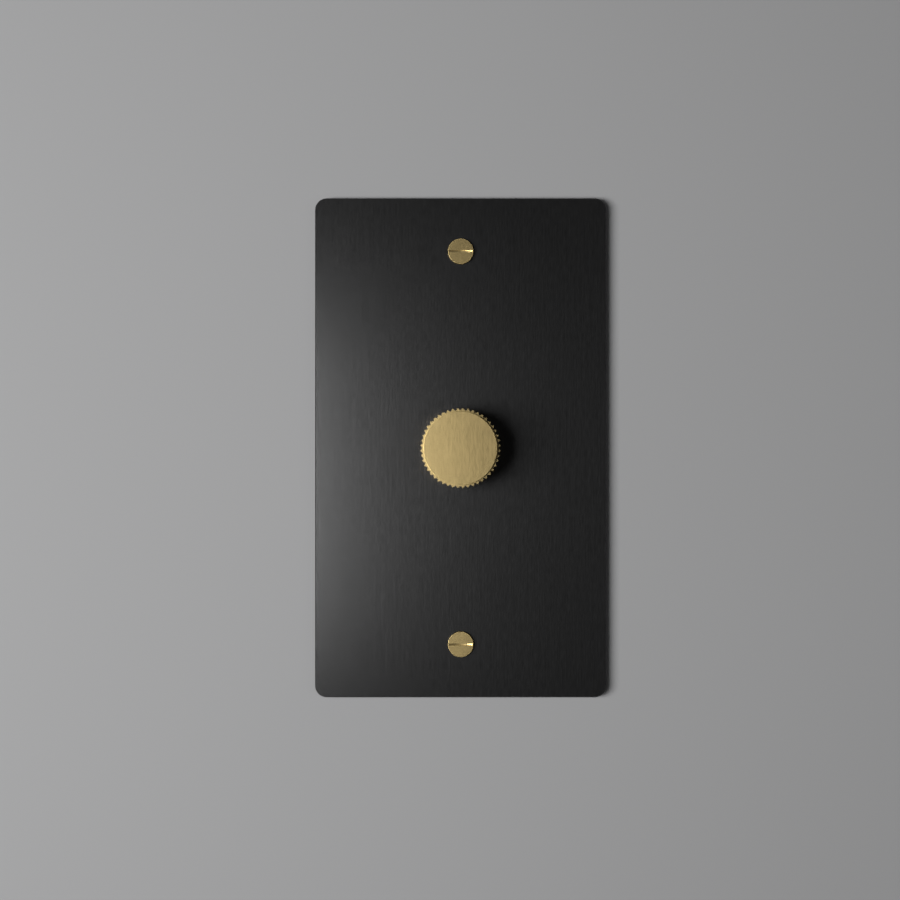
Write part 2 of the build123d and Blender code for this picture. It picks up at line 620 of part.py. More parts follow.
def stack_outline():
    outline = Rectangle(2 * stack_half_width, 2 * stack_half_height)
    outline -= Circle(BUSHING_RADIUS + BUSHING_HOLE_CLEARANCE)
    outline -= Pos(LOCATING_PIN_OFFSET, 0) * Circle(LOCATING_PIN_RADIUS + BUSHING_HOLE_CLEARANCE)
    for x, z in post_places:
        outline -= Pos(x, z) * Circle(HOUSING_SCREW_RADIUS + THREAD_CLEARANCE)
    return outline


def pad_size():
    return PAD_WIDTH, POWER_BODY_HEIGHT + POWER_TAB_HEIGHT + 2 * PAD_MARGIN


def pad_centre_z():
    return (power_bottom_z + power_top_z + POWER_TAB_HEIGHT) / 2


def make_heat_spreader():
    outline = stack_outline() - Pos(0, power_tab_z) * Circle(POWER_SCREW_RADIUS + THREAD_CLEARANCE)
    return slab(outline, strap_back, sheet_front)


def make_insulating_sheet():
    width, height = pad_size()
    window = Rectangle(width + 2 * PAD_WINDOW_AIR, height + 2 * PAD_WINDOW_AIR)
    return slab(stack_outline() - Pos(0, pad_centre_z()) * window, sheet_front, stack_back)


# Potentiometer
def make_bushing():
    bushing = rod(BUSHING_RADIUS, bushing_front, stack_back)
    bushing += rod(POT_RADIUS, stack_back, flange_back)
    skirt_back = rotor_front - POT_INNER_AIR
    bushing += tube(skirt_outer_radius, skirt_inner_radius, flange_back, skirt_back)
    pin_front = stack_back - LOCATING_PIN_LENGTH
    bushing += rod(LOCATING_PIN_RADIUS, pin_front, stack_back, x=LOCATING_PIN_OFFSET)
    return bushing - rod(SHAFT_RADIUS + SHAFT_RUNNING_CLEARANCE, bushing_front, flange_back)


def track_tab(side_air):
    half_width = TRACK_TAB_WIDTH / 2 + side_air
    z_span = (-track_tab_reach - side_air, -ROTOR_SHOULDER_RADIUS - TRACK_HOLE_AIR)
    return block((-half_width, half_width), (track_front, track_back), z_span)


def make_pot_case():
    case = rod(POT_RADIUS, flange_back, pot_back)
    case -= rod(pot_inner_radius, flange_back, track_back)
    case -= rod(ROTOR_HUB_RADIUS + ROTOR_BORE_CLEARANCE, flange_back, pot_back)
    case += sector(
        pot_inner_radius + POT_WALL / 2, ROTOR_DISC_RADIUS + ROTOR_STOP_AIR,
        -90, stop_half_angle, rotor_front, rotor_disc_back,
    )
    return case - track_tab(POT_INNER_AIR)


def make_track():
    track = rod(pot_inner_radius - POT_INNER_AIR, track_front, track_back) + track_tab(0)
    track -= rod(ROTOR_HUB_RADIUS + TRACK_HOLE_AIR, track_front, track_back)
    for k in (-1, 0, 1):
        track -= make_pot_terminal(k, BOARD_LEAD_CLEARANCE)
    return track


def make_pot_terminal(k, air=0.0):
    half_width = TRACK_TERMINAL_WIDTH / 2 + air
    x = k * TRACK_TERMINAL_PITCH
    leg_bottom = TRACK_TERMINAL_THICKNESS - track_tab_reach
    leg_top = leg_bottom + TRACK_TERMINAL_THICKNESS
    pad_front = track_front - TRACK_TERMINAL_THICKNESS
    x_span = (x - half_width, x + half_width)
    leg = block(x_span, (pad_front, lead_tip), (leg_bottom - air, leg_top + air))
    if air:
        return leg
    return leg + block(x_span, (pad_front, track_front), (leg_bottom, -POT_RADIUS))


def make_pot_terminals():
    return [make_pot_terminal(k) for k in (-1, 0, 1)]


def make_rotor():
    rotor = rod(ROTOR_DISC_RADIUS, rotor_front, rotor_disc_back)
    rotor += sector(
        rotor_lug_radius, ROTOR_HUB_RADIUS, 90, ROTOR_LUG_HALF_ANGLE, rotor_front, rotor_disc_back,
    )
    rotor += rod(ROTOR_SHOULDER_RADIUS, rotor_disc_back, track_front - POT_INNER_AIR)
    rotor += rod(ROTOR_HUB_RADIUS, rotor_disc_back, rotor_back)
    bore = d_outline(SHAFT_RADIUS + ROTOR_BORE_CLEARANCE, SHAFT_FLAT_DEPTH)
    return rotor - slab(bore, rotor_front, rotor_back)


def make_wiper():
    blade = sector(
        WIPER_OUTER_RADIUS, WIPER_INNER_RADIUS, -90, WIPER_HALF_ANGLE,
        rotor_disc_back, rotor_disc_back + WIPER_THICKNESS,
    )
    finger_ring = (WIPER_INNER_RADIUS + WIPER_OUTER_RADIUS) / 2
    for side in (-1, 1):
        angle = math.radians(-90 + side * WIPER_FINGER_ANGLE)
        blade += rod(
            WIPER_FINGER_RADIUS, rotor_disc_back, track_front - POT_INNER_AIR,
            finger_ring * math.cos(angle), finger_ring * math.sin(angle),
        )
    return blade


# Circuit board
def make_board():
    board = slab(Rectangle(2 * board_half_width, 2 * board_half_height), board_front, board_back)
    board -= rod(BOARD_HOLE_RADIUS, board_front, board_back)
    corner_radius = HOUSING_POST_RADIUS + BOARD_POST_CLEARANCE
    for x, z in post_places:
        board -= rod(corner_radius, board_front, board_back, x, z)
        board -= block((x, 2 * x), (board_front, board_back), (z, 2 * z))
    for k in (-1, 0, 1):
        board -= make_pot_terminal(k, BOARD_LEAD_CLEARANCE)
        board -= power_lead_tail(k, BOARD_LEAD_CLEARANCE)
    for side in (-1, 1):
        board -= contact_riser(side, BOARD_LEAD_CLEARANCE)
    for side, z in terminal_places:
        board -= terminal_tail(side, z, BOARD_LEAD_CLEARANCE)
    for z in resistor_rows:
        for x in (-resistor_lead_x, resistor_lead_x):
            board -= rod(RESISTOR_LEAD_RADIUS + BOARD_LEAD_CLEARANCE, board_front, board_back, x, z)
    return board


# Push switch
def contact_riser(side, air=0.0):
    outer = SWITCH_WIDTH / 2 - SWITCH_WALL
    x_span = (side * (outer - CONTACT_THICKNESS - air), side * (outer + air))
    y_span = (board_back - CONTACT_BOARD_ENTRY, contact_front + CONTACT_THICKNESS)
    half_width = CONTACT_WIDTH / 2 + air
    return block(x_span, y_span, (-half_width, half_width))


def make_fixed_contact(side):
    outer = SWITCH_WIDTH / 2 - SWITCH_WALL
    pad = block(
        (side * (outer - CONTACT_PAD_LENGTH), side * outer),
        (contact_front, contact_front + CONTACT_THICKNESS),
        (-CONTACT_WIDTH / 2, CONTACT_WIDTH / 2),
    )
    return pad + contact_riser(side)


def make_fixed_contacts():
    return [make_fixed_contact(side) for side in (-1, 1)]


def make_switch_case():
    half = SWITCH_WIDTH / 2
    inner = half - SWITCH_WALL
    case = block((-half, half), (switch_front, switch_back), (-half, half))
    case -= block((-inner, inner), (switch_front + SWITCH_WALL, switch_floor), (-inner, inner))
    nose_hole_radius = PLUNGER_NOSE_RADIUS + PLUNGER_RUNNING_CLEARANCE
    case -= rod(nose_hole_radius, switch_front, switch_front + SWITCH_WALL)
    for side in (-1, 1):
        case += block(
            (side * (inner - CONTACT_PAD_LENGTH), side * inner),
            (contact_front + CONTACT_THICKNESS, switch_floor),
            (-inner, inner),
        )
        case -= block(
            (side * (inner - CONTACT_THICKNESS), side * inner),
            (switch_front, switch_front + SWITCH_WALL),
            (-CONTACT_WIDTH / 2, CONTACT_WIDTH / 2),
        )
    return case


def make_plunger():
    plunger = rod(PLUNGER_NOSE_RADIUS, plunger_front, flange_front)
    plunger += rod(PLUNGER_FLANGE_RADIUS, flange_front, plunger_flange_back)
    return plunger + rod(PLUNGER_STEM_RADIUS, plunger_flange_back, plunger_end)


def make_bridge():
    bridge = rod(PLUNGER_FLANGE_RADIUS, plunger_flange_back, bridge_back)
    bridge += block(
        (-BRIDGE_REACH, BRIDGE_REACH), (plunger_flange_back, bridge_back),
        (-BRIDGE_LUG_WIDTH / 2, BRIDGE_LUG_WIDTH / 2),
    )
    return bridge - rod(BRIDGE_INNER_RADIUS, plunger_flange_back, bridge_back)


def make_return_spring():
    coil_start = plunger_flange_back + SPRING_WIRE_RADIUS + SPRING_END_AIR
    coil_end = switch_floor - SPRING_WIRE_RADIUS - SPRING_END_AIR
    length = coil_end - coil_start
    pitch = length / SPRING_TURNS
    helix = Helix(pitch, length, SPRING_MEAN_RADIUS, center=(0, coil_start, 0), direction=(0, 1, 0))
    section = Plane(origin=helix @ 0, z_dir=helix % 0) * Circle(SPRING_WIRE_RADIUS)
    return sweep(section, path=helix, is_frenet=True)


# Rear housing and its screws
def terminal_recess(side, z, grow=0.0):
    x_span = (side * (recess_floor_x - grow), side * HOUSING_WIDTH / 2)
    y_span = (recess_start - grow, housing_floor)
    half = TERMINAL_RECESS_HEIGHT / 2 + grow
    return block(x_span, y_span, (z - half, z + half))


def make_rear_housing():
    outline = RectangleRounded(HOUSING_WIDTH, HOUSING_HEIGHT, HOUSING_CORNER_RADIUS)
    housing = slab(outline, strap_back, housing_back)
    housing = fillet(housing.faces().sort_by(Axis.Y)[-1].edges(), HOUSING_EDGE_RADIUS)
    housing -= slab(
        SlotOverall(STRIP_GAUGE_LENGTH, STRIP_GAUGE_WIDTH), housing_back - STRIP_GAUGE_DEPTH, housing_back,
    )
    cavity = slab(Rectangle(2 * inner_half_width, 2 * inner_half_height), strap_back, housing_floor)
    for x, z in post_places:
        cavity -= rod(HOUSING_POST_RADIUS, stack_back, housing_floor, x, z)
    for side, z in terminal_places:
        cavity -= terminal_recess(side, z, HOUSING_WALL)
    for side in (-1, 1):
        cavity -= block(
            (-BOARD_REST_WIDTH / 2, BOARD_REST_WIDTH / 2),
            (board_back, housing_floor),
            (side * board_rest_edge, side * inner_half_height),
        )
    housing -= cavity
    head_seat = housing_back - HOUSING_SCREW_SINK_DEPTH
    head_room_radius = HOUSING_SCREW_HEAD_RADIUS + HOUSING_SCREW_HEAD_AIR
    for x, z in post_places:
        housing -= rod(HOUSING_SCREW_RADIUS + SHANK_CLEARANCE, strap_back, housing_back, x, z)
        housing -= rod(head_room_radius, head_seat, housing_back, x, z)
    for side, z in terminal_places:
        housing -= terminal_recess(side, z)
        housing -= block(
            (side * (recess_floor_x - HOUSING_WALL), side * recess_floor_x),
            (terminal_plate_start, terminal_plate_start + TERMINAL_TAB_THICKNESS),
            (z - TERMINAL_TAB_WIDTH / 2, z + TERMINAL_TAB_WIDTH / 2),
        )
        screw_room = Cylinder(TERMINAL_SCREW_RADIUS + SHANK_CLEARANCE, 3 * HOUSING_WALL)
        housing -= Pos(side * recess_floor_x, terminal_screw_y, z) * Rot(0, 90, 0) * screw_room
        wire_x = side * (clamp_x - WIRE_GAP / 2)
        housing -= rod(WIRE_HOLE_RADIUS, housing_floor, housing_back, wire_x, z + WIRE_HOLE_OFFSET)
    return housing


def make_housing_screw(x, z):
    head_seat = housing_back - HOUSING_SCREW_SINK_DEPTH
    head_back = head_seat + HOUSING_SCREW_HEAD_HEIGHT
    head = rod(HOUSING_SCREW_HEAD_RADIUS, head_seat, head_back)
    head = chamfer(head.faces().sort_by(Axis.Y)[-1].edges(), STEEL_SCREW_EDGE_BREAK)
    arm = block(
        (-CROSS_RECESS_REACH, CROSS_RECESS_REACH),
        (head_back - CROSS_RECESS_DEPTH, head_back),
        (-STEEL_SCREW_SLOT_WIDTH / 2, STEEL_SCREW_SLOT_WIDTH / 2),
    )
    head -= arm
    head -= Rot(0, 90, 0) * arm
    return Pos(x, 0, z) * (head + rod(HOUSING_SCREW_RADIUS, strap_front, head_seat))


def make_housing_screws():
    return [make_housing_screw(x, z) for x, z in post_places]


# Wiring terminals
def terminal_tail(side, z, air=0.0):
    tail_outer = recess_floor_x - HOUSING_WALL
    tail_inner = tail_outer - TERMINAL_TAB_THICKNESS
    half = TERMINAL_TAB_WIDTH / 2 + air
    return block(
        (side * (tail_inner - air), side * (tail_outer + air)),
        (lead_end, terminal_plate_start + TERMINAL_TAB_THICKNESS),
        (z - half, z + half),
    )


def make_terminal_plate(side, z):
    plate = block(
        (side * recess_floor_x, side * (recess_floor_x + TERMINAL_PLATE_THICKNESS)),
        (terminal_plate_start, terminal_plate_end),
        (z - TERMINAL_PLATE_HEIGHT / 2, z + TERMINAL_PLATE_HEIGHT / 2),
    )
    plate += block(
        (side * (recess_floor_x - HOUSING_WALL), side * recess_floor_x),
        (terminal_plate_start, terminal_plate_start + TERMINAL_TAB_THICKNESS),
        (z - TERMINAL_TAB_WIDTH / 2, z + TERMINAL_TAB_WIDTH / 2),
    )
    plate += terminal_tail(side, z)
    hole = Cylinder(TERMINAL_SCREW_RADIUS + THREAD_CLEARANCE, 4 * TERMINAL_PLATE_THICKNESS)
    return plate - Pos(side * recess_floor_x, terminal_screw_y, z) * Rot(0, 90, 0) * hole


def make_clamp_plate(side, z):
    half = TERMINAL_PLATE_HEIGHT / 2 - CLAMP_PLATE_INSET
    plate = block(
        (side * clamp_x, side * (clamp_x + CLAMP_PLATE_THICKNESS)),
        (terminal_plate_start + CLAMP_PLATE_INSET, terminal_plate_end - CLAMP_PLATE_INSET),
        (z - half, z + half),
    )
    hole = Cylinder(TERMINAL_SCREW_RADIUS + SHANK_CLEARANCE, 4 * CLAMP_PLATE_THICKNESS)
    return plate - Pos(side * clamp_x, terminal_screw_y, z) * Rot(0, 90, 0) * hole


def make_terminal_screw(side, z):
    head_in = clamp_x + CLAMP_PLATE_THICKNESS
    head = Cylinder(TERMINAL_SCREW_HEAD_RADIUS, TERMINAL_SCREW_HEAD_HEIGHT, align=UPWARDS)
    head = chamfer(head.faces().sort_by(Axis.Z)[-1].edges(), STEEL_SCREW_EDGE_BREAK)
    slot = Box(STEEL_SCREW_SLOT_WIDTH, 3 * TERMINAL_SCREW_HEAD_RADIUS, TERMINAL_SCREW_HEAD_HEIGHT)
    head -= Pos(0, 0, TERMINAL_SCREW_HEAD_HEIGHT) * slot
    shank_length = head_in - recess_floor_x + TERMINAL_SCREW_REACH
    shank = Cylinder(TERMINAL_SCREW_RADIUS, shank_length, align=DOWNWARDS)
    return Pos(side * head_in, terminal_screw_y, z) * Rot(0, side * 90, 0) * (head + shank)


# Power device, its pad and its screw
def make_thermal_pad():
    width, height = pad_size()
    pad = slab(Pos(0, pad_centre_z()) * Rectangle(width, height), sheet_front, stack_back)
    return pad - rod(POWER_SCREW_RADIUS + SHANK_CLEARANCE, sheet_front, stack_back, z=power_tab_z)


def make_power_body():
    body = block(
        (-POWER_BODY_WIDTH / 2, POWER_BODY_WIDTH / 2),
        (stack_back + POWER_TAB_THICKNESS, stack_back + POWER_BODY_THICKNESS),
        (power_bottom_z, power_top_z),
    )
    return chamfer(body.faces().sort_by(Axis.Y)[-1].edges(), POWER_BODY_BEVEL)


def power_lead_tail(k, air=0.0):
    x = k * POWER_LEAD_PITCH
    half = POWER_LEAD_WIDTH / 2 + air
    return block(
        (x - half, x + half),
        (stack_back + POWER_LEAD_LEVEL, lead_tip),
        (power_lead_z - air, power_lead_z + POWER_LEAD_THICKNESS + air),
    )


def make_power_lead(k):
    x = k * POWER_LEAD_PITCH
    lead = block(
        (x - POWER_LEAD_WIDTH / 2, x + POWER_LEAD_WIDTH / 2),
        (stack_back + POWER_LEAD_LEVEL, stack_back + POWER_LEAD_LEVEL + POWER_LEAD_THICKNESS),
        (power_lead_z, power_bottom_z),
    )
    return lead + power_lead_tail(k)


def make_power_tab():
    tab_back = stack_back + POWER_TAB_THICKNESS
    tab = block(
        (-POWER_BODY_WIDTH / 2, POWER_BODY_WIDTH / 2), (stack_back, tab_back),
        (power_bottom_z, power_top_z + POWER_TAB_HEIGHT),
    )
    return tab - rod(POWER_SCREW_RADIUS + SHANK_CLEARANCE, stack_back, tab_back, z=power_tab_z)


def make_power_metal():
    return [make_power_tab()] + [make_power_lead(k) for k in (-1, 0, 1)]


def make_power_screw():
    seat = stack_back + POWER_TAB_THICKNESS
    head = rod(POWER_SCREW_HEAD_RADIUS, seat, seat + POWER_SCREW_HEAD_HEIGHT, z=power_tab_z)
    head = chamfer(head.faces().sort_by(Axis.Y)[-1].edges(), STEEL_SCREW_EDGE_BREAK)
    half_slot = STEEL_SCREW_SLOT_WIDTH / 2
    head -= block(
        (-2 * POWER_SCREW_HEAD_RADIUS, 2 * POWER_SCREW_HEAD_RADIUS),
        (seat + POWER_SCREW_HEAD_HEIGHT / 2, seat + POWER_SCREW_HEAD_HEIGHT),
        (power_tab_z - half_slot, power_tab_z + half_slot),
    )
    return head + rod(POWER_SCREW_RADIUS, strap_back + POWER_SCREW_END_AIR, seat, z=power_tab_z)


# Parts on the back of the circuit board
def make_choke_core():
    top = board_back + CHOKE_HEIGHT
    core = rod(CHOKE_CORE_RADIUS, board_back, top)
    core += rod(CHOKE_FLANGE_RADIUS, board_back, board_back + CHOKE_FLANGE_THICKNESS)
    core += rod(CHOKE_FLANGE_RADIUS, top - CHOKE_FLANGE_THICKNESS, top)
    return Pos(choke_x, 0, choke_z) * core


def make_choke_winding():
    start = board_back + CHOKE_FLANGE_THICKNESS
    length = CHOKE_HEIGHT - 2 * CHOKE_FLANGE_THICKNESS
    wire_radius = length / CHOKE_WIRE_ROWS / 2
    winding = rod(CHOKE_WINDING_RADIUS - wire_radius, start, start + length)
    for row in range(CHOKE_WIRE_ROWS):
        centre = start + (2 * row + 1) * wire_radius
        turn_of_wire = Torus(CHOKE_WINDING_RADIUS - wire_radius, wire_radius - CHOKE_TURN_AIR)
        winding += Pos(0, centre, 0) * Rot(90, 0, 0) * turn_of_wire
    winding -= rod(CHOKE_CORE_RADIUS + THREAD_CLEARANCE, start, start + length)
    return Pos(choke_x, 0, choke_z) * winding


def make_bulk_capacitor():
    can = rod(BULK_CAP_RADIUS, board_back, board_back + bulk_cap_height)
    can = fillet(can.faces().sort_by(Axis.Y)[-1].edges(), BULK_CAP_EDGE_RADIUS)
    groove = Rot(90, 0, 0) * Torus(BULK_CAP_RADIUS, BULK_CAP_GROOVE_RADIUS)
    can -= Pos(0, board_back + BULK_CAP_GROOVE_HEIGHT, 0) * groove
    return Pos(bulk_cap_x, 0, choke_z) * can


def make_film_capacitor():
    body = block(
        (-FILM_CAP_WIDTH / 2, FILM_CAP_WIDTH / 2), (board_back, board_back + FILM_CAP_HEIGHT),
        (film_cap_z - FILM_CAP_THICKNESS / 2, film_cap_z + FILM_CAP_THICKNESS / 2),
    )
    return fillet(body.faces().sort_by(Axis.Y)[-1].edges(), FILM_CAP_EDGE_RADIUS)


def make_fuse():
    body = rod(FUSE_RADIUS, board_back, board_back + FUSE_HEIGHT, fuse_x, fuse_z)
    return fillet(body.faces().sort_by(Axis.Y)[-1].edges(), FUSE_EDGE_RADIUS)


def make_chip():
    half_height = CHIP_HEIGHT / 2
    chip = block(
        (-CHIP_WIDTH / 2, CHIP_WIDTH / 2),
        (board_back + CHIP_STANDOFF, board_back + CHIP_THICKNESS),
        (-half_height, half_height),
    )
    for x in chip_leg_places:
        chip += block(
            (x - CHIP_LEG_WIDTH / 2, x + CHIP_LEG_WIDTH / 2),
            (board_back, board_back + CHIP_LEG_THICKNESS),
            (-half_height - CHIP_LEG_REACH, half_height + CHIP_LEG_REACH),
        )
    return Pos(chip_x, 0, fuse_z) * chip


def make_resistor(z):
    axis_y = board_back + RESISTOR_RADIUS
    body = Rot(0, 90, 0) * Cylinder(RESISTOR_RADIUS, RESISTOR_LENGTH)
    body = fillet(body.edges().filter_by(GeomType.CIRCLE), RESISTOR_EDGE_RADIUS)
    corners = [
        (-resistor_lead_x, lead_end, z),
        (-resistor_lead_x, axis_y, z),
        (resistor_lead_x, axis_y, z),
        (resistor_lead_x, lead_end, z),
    ]
    route = FilletPolyline(*corners, radius=RESISTOR_LEAD_BEND)
    section = Plane(origin=route @ 0, z_dir=route % 0) * Circle(RESISTOR_LEAD_RADIUS)
    return Pos(0, axis_y, z) * body + sweep(section, path=route)


def make_resistors():
    return [make_resistor(z) for z in resistor_rows]


# Every node by name
NODES = {
    "face_plate": make_face_plate,
    "plate_screws": make_plate_screws,
    "knob": make_knob,
    "knob_grub_screw": make_grub_screw,
    "control_shaft": make_control_shaft,
    "shaft_retaining_ring": make_retaining_ring,
    "mounting_strap": make_mounting_strap,
    "ground_screw": make_ground_screw,
    "shaft_nut": make_shaft_nut,
    "lock_washer": make_lock_washer,
    "heat_spreader": make_heat_spreader,
    "insulating_sheet": make_insulating_sheet,
    "potentiometer_bushing": make_bushing,
    "potentiometer_case": make_pot_case,
    "resistance_track": make_track,
    "potentiometer_terminals": make_pot_terminals,
    "wiper_rotor": make_rotor,
    "wiper_contact": make_wiper,
    "circuit_board": make_board,
    "switch_case": make_switch_case,
    "switch_fixed_contacts": make_fixed_contacts,
    "switch_plunger": make_plunger,
    "switch_bridge": make_bridge,
    "return_spring": make_return_spring,
    "rear_housing": make_rear_housing,
    "housing_screws": make_housing_screws,
    "terminal_plates": lambda: [make_terminal_plate(side, z) for side, z in terminal_places],
    "clamp_plates": lambda: [make_clamp_plate(side, z) for side, z in terminal_places],
    "terminal_screws": lambda: [make_terminal_screw(side, z) for side, z in terminal_places],
    "thermal_pad": make_thermal_pad,
    "power_device_body": make_power_body,
    "power_device_metal": make_power_metal,
    "power_device_screw": make_power_screw,
    "choke_core": make_choke_core,
    "choke_winding": make_choke_winding,
    "bulk_capacitor": make_bulk_capacitor,
    "film_capacitor": make_film_capacitor,
    "fuse": make_fuse,
    "control_chip": make_chip,
    "resistors": make_resistors,
}


def main():
    os.makedirs("parts", exist_ok=True)
    for name, make in NODES.items():
        made = make()
        pieces = made if isinstance(made, list) else [made]
        solids = [solid for piece in pieces for solid in piece.solids()]
        result = solids[0] if len(solids) == 1 else Compound(children=solids)
        export_step(result, f"parts/{name}.step")


main()
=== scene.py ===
import json
import math

import bmesh
import bpy
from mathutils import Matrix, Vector


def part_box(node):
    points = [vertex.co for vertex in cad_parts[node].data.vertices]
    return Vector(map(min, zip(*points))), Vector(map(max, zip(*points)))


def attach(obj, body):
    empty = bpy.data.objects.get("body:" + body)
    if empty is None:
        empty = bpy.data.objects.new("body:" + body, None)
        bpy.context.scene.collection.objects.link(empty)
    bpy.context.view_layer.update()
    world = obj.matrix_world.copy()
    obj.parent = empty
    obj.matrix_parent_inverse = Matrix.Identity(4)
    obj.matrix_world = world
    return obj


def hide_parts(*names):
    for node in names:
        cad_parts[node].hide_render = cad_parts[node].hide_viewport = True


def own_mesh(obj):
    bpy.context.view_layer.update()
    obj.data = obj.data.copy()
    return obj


# The dimmer switch, dressed for the camera. Lengths are in millimetres until a mesh is made.
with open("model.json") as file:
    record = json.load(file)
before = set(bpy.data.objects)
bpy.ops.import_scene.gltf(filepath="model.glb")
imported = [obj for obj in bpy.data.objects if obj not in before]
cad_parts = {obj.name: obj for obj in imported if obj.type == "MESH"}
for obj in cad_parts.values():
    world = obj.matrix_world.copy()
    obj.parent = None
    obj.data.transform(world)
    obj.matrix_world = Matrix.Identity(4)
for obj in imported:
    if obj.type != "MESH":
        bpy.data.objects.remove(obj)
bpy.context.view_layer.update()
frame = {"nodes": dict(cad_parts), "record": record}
MM = 0.001


def node_box_mm(node):
    low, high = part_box(node)
    return low / MM, high / MM


# Camera, from the photograph's framing
IMAGE_PIXELS = 900
MM_PER_PIXEL_AT_PLATE = 0.24684
CAMERA_TO_PLATE = 450.0
SENSOR_WIDTH = 36.0
PLATE_CENTRE_PIXEL = (460.7, 447.8)
VIEW_AXIS_PIXEL = (470.0, 439.0)
NEAREST_SEEN = 10.0
FARTHEST_SEEN = 20000.0

# Studio
WALL_SIZE = 4000.0
WALL_UNDER_PLATE_RIM = 1.0
WALL_COLOUR = (0.3, 0.3, 0.303)
WALL_ROUGHNESS = 0.9
WALL_SPECULAR = 0.1
BACKDROP_COLOUR = (0.62, 0.62, 0.63)
FRONT_ROOM_BRIGHTNESS = 0.03
BACK_ROOM_BRIGHTNESS = 0.45
KEY_LIGHT_PLACE = (-359.0, -600.0, -27.0)
KEY_LIGHT_SIZE = (478.0, 206.0)
KEY_LIGHT_WATTS = 6.1
FILL_LIGHT_PLACE = (420.0, -620.0, 0.0)
FILL_LIGHT_SIZE = (520.0, 520.0)
FILL_LIGHT_WATTS = 0.36
BACK_LIGHT_PLACE = (420.0, 700.0, 420.0)
BACK_LIGHT_SIZE = (600.0, 600.0)
BACK_LIGHT_WATTS = 6.0

# The room turns from its front brightness to its back one between these parts of a direction along Y
ROOM_TURN_START = -0.05
ROOM_TURN_END = 0.2

# Knob
knob_low, knob_high = node_box_mm("knob")
KNOB_FRONT = knob_low.y
KNOB_BACK = knob_high.y
KNOB_SHARP_DEG = 3.0
KNOB_FACE_RING_SHARE = 0.7
TOOTH_COUNT = 48
TOOTH_TIP_RADIUS = knob_high.x
TOOTH_DEPTH = 0.66
TOOTH_ROUNDING = 0.03
TOOTH_ROUNDING_SAMPLES = 5
TOOTH_BEVEL = 0.03
TOOTH_FRONT_FALL = 0.012
STEPS_PER_TOOTH = 10
KNOB_STEPS = TOOTH_COUNT * STEPS_PER_TOOTH
NOSE_RADIUS = 8.7
NOSE_HEIGHT = 1.6
NOSE_EDGE_RADIUS = 0.015
COLLAR_HEIGHT = 1.2
RECESS_RADIUS = 6.37
RECESS_DEPTH = 2.3
BORE_RADIUS = 3.03
BORE_FLAT = 1.53
BORE_END_TO_FRONT = 3.5
GRUB_HOLE_CLEARANCE = 0.04
GRUB_HOLE_MIDDLE_Z = -6.0
GRUB_HOLE_LENGTH = 9.0
GRUB_HOLE_STEPS = 64

# Shares of the teeth's bevel: how far in from the tips, and how far along the knob
TOOTH_BEVEL_STEPS = ((1.0, 0.0), (0.4, 0.25), (0.0, 1.0))

# A face of the knob with a normal below this along Y looks at the user
FACING_USER = -0.97

# Plate screws
PLATE_FRONT = node_box_mm("face_plate")[0].y
PLATE_SCREW_SPACING = 96.84
PLATE_SCREW_SINK_DEPTH = 0.9
PLATE_SCREW_SEAT = PLATE_FRONT + PLATE_SCREW_SINK_DEPTH
PLATE_SCREW_EDGE_RADIUS = 0.04
PLATE_SCREW_FACE_RING_SHARE = 0.6
PLATE_SCREW_HEAD_STEPS = 96
UNDER_HEAD_BEVEL = 0.06
SHANK_RADIUS = 1.75
SEAT_TO_PLAIN_SHANK_END = 1.0
SEAT_TO_THREAD_START = 0.9
THREAD_PITCH = 0.79
THREAD_DEPTH = 0.28
THREAD_STEPS = 28
THREAD_RINGS_PER_PITCH = 8
SLOT_WIDTH = 0.48
SLOT_DEPTH = 1.0
SLOT_LENGTH = 5.8
SLOT_CUTTER_RADIUS = 24.0
SLOT_CUTTER_STEPS = 720
SLOT_LIMIT_HEIGHT = 6.0
SLOT_LIMIT_STEPS = 128

# Return spring of the push switch
SPRING_WIRE_RADIUS = 0.3
SPRING_WIRE_STEPS = 16
SPRING_TURNS = 5
SPRING_STEPS_PER_TURN = 40

# Meshes
CENTRE_RADIUS = 0.05
EDGE_STEPS = 5
SHARP_DEG = 32.0
LEVEL_TOLERANCE = 0.001

# A ring this far from a rounded edge keeps the flat beside it flat
EDGE_HOLD = 0.01

# Surfaces
NOISE_DETAIL = 4.0
NOISE_ROUGHNESS = 0.6
NOISE_LOW = 0.3
NOISE_HIGH = 0.7
PATCHES_PER_MM = 0.12
PATCH_DETAIL = 3.0
PATCH_BRIGHTNESS = 1.5
SPECKS_PER_MM = 3.0
SPECK_BUMP = 0.01
SPECULAR_LEVEL = 0.5

# How much longer the long strokes of brushed metal are than the short ones
LONG_STROKE_RATIO = 6.0

# Circuit board
BOARD_WEAVE_PER_MM = 4.0
BOARD_PATTERN_PER_MM = 0.25
BOARD_TRACK_GAP = 0.06
BOARD_TRACK_LENGTH = 2.6
BOARD_TRACK_PITCH = 1.1
BOARD_TRACK_BUMP = 0.03
BOARD_RESIST_DARK = (0.012, 0.085, 0.03)
BOARD_RESIST_LIGHT = (0.018, 0.12, 0.045)
BOARD_TRACK_COLOUR = (0.035, 0.2, 0.08)
BOARD_ROUGHNESS = (0.28, 0.38)

# Resistors, with each band's place along X and colour
RESISTOR_LACQUER_DARK = (0.5, 0.36, 0.19)
RESISTOR_LACQUER_LIGHT = (0.58, 0.43, 0.24)
RESISTOR_LEAD_COLOUR = (0.6, 0.6, 0.6)
RESISTOR_ROUGHNESS = (0.22, 0.36)
RESISTOR_BODY_END = 3.0
RESISTOR_END_BLUR = 0.02
BAND_HALF_WIDTH = 0.28
BAND_BLUR = 0.03
BANDS = (
    (-1.9, (0.25, 0.08, 0.03)),
    (-0.8, (0.02, 0.02, 0.02)),
    (0.3, (0.45, 0.05, 0.03)),
    (1.9, (0.5, 0.33, 0.08)),
)

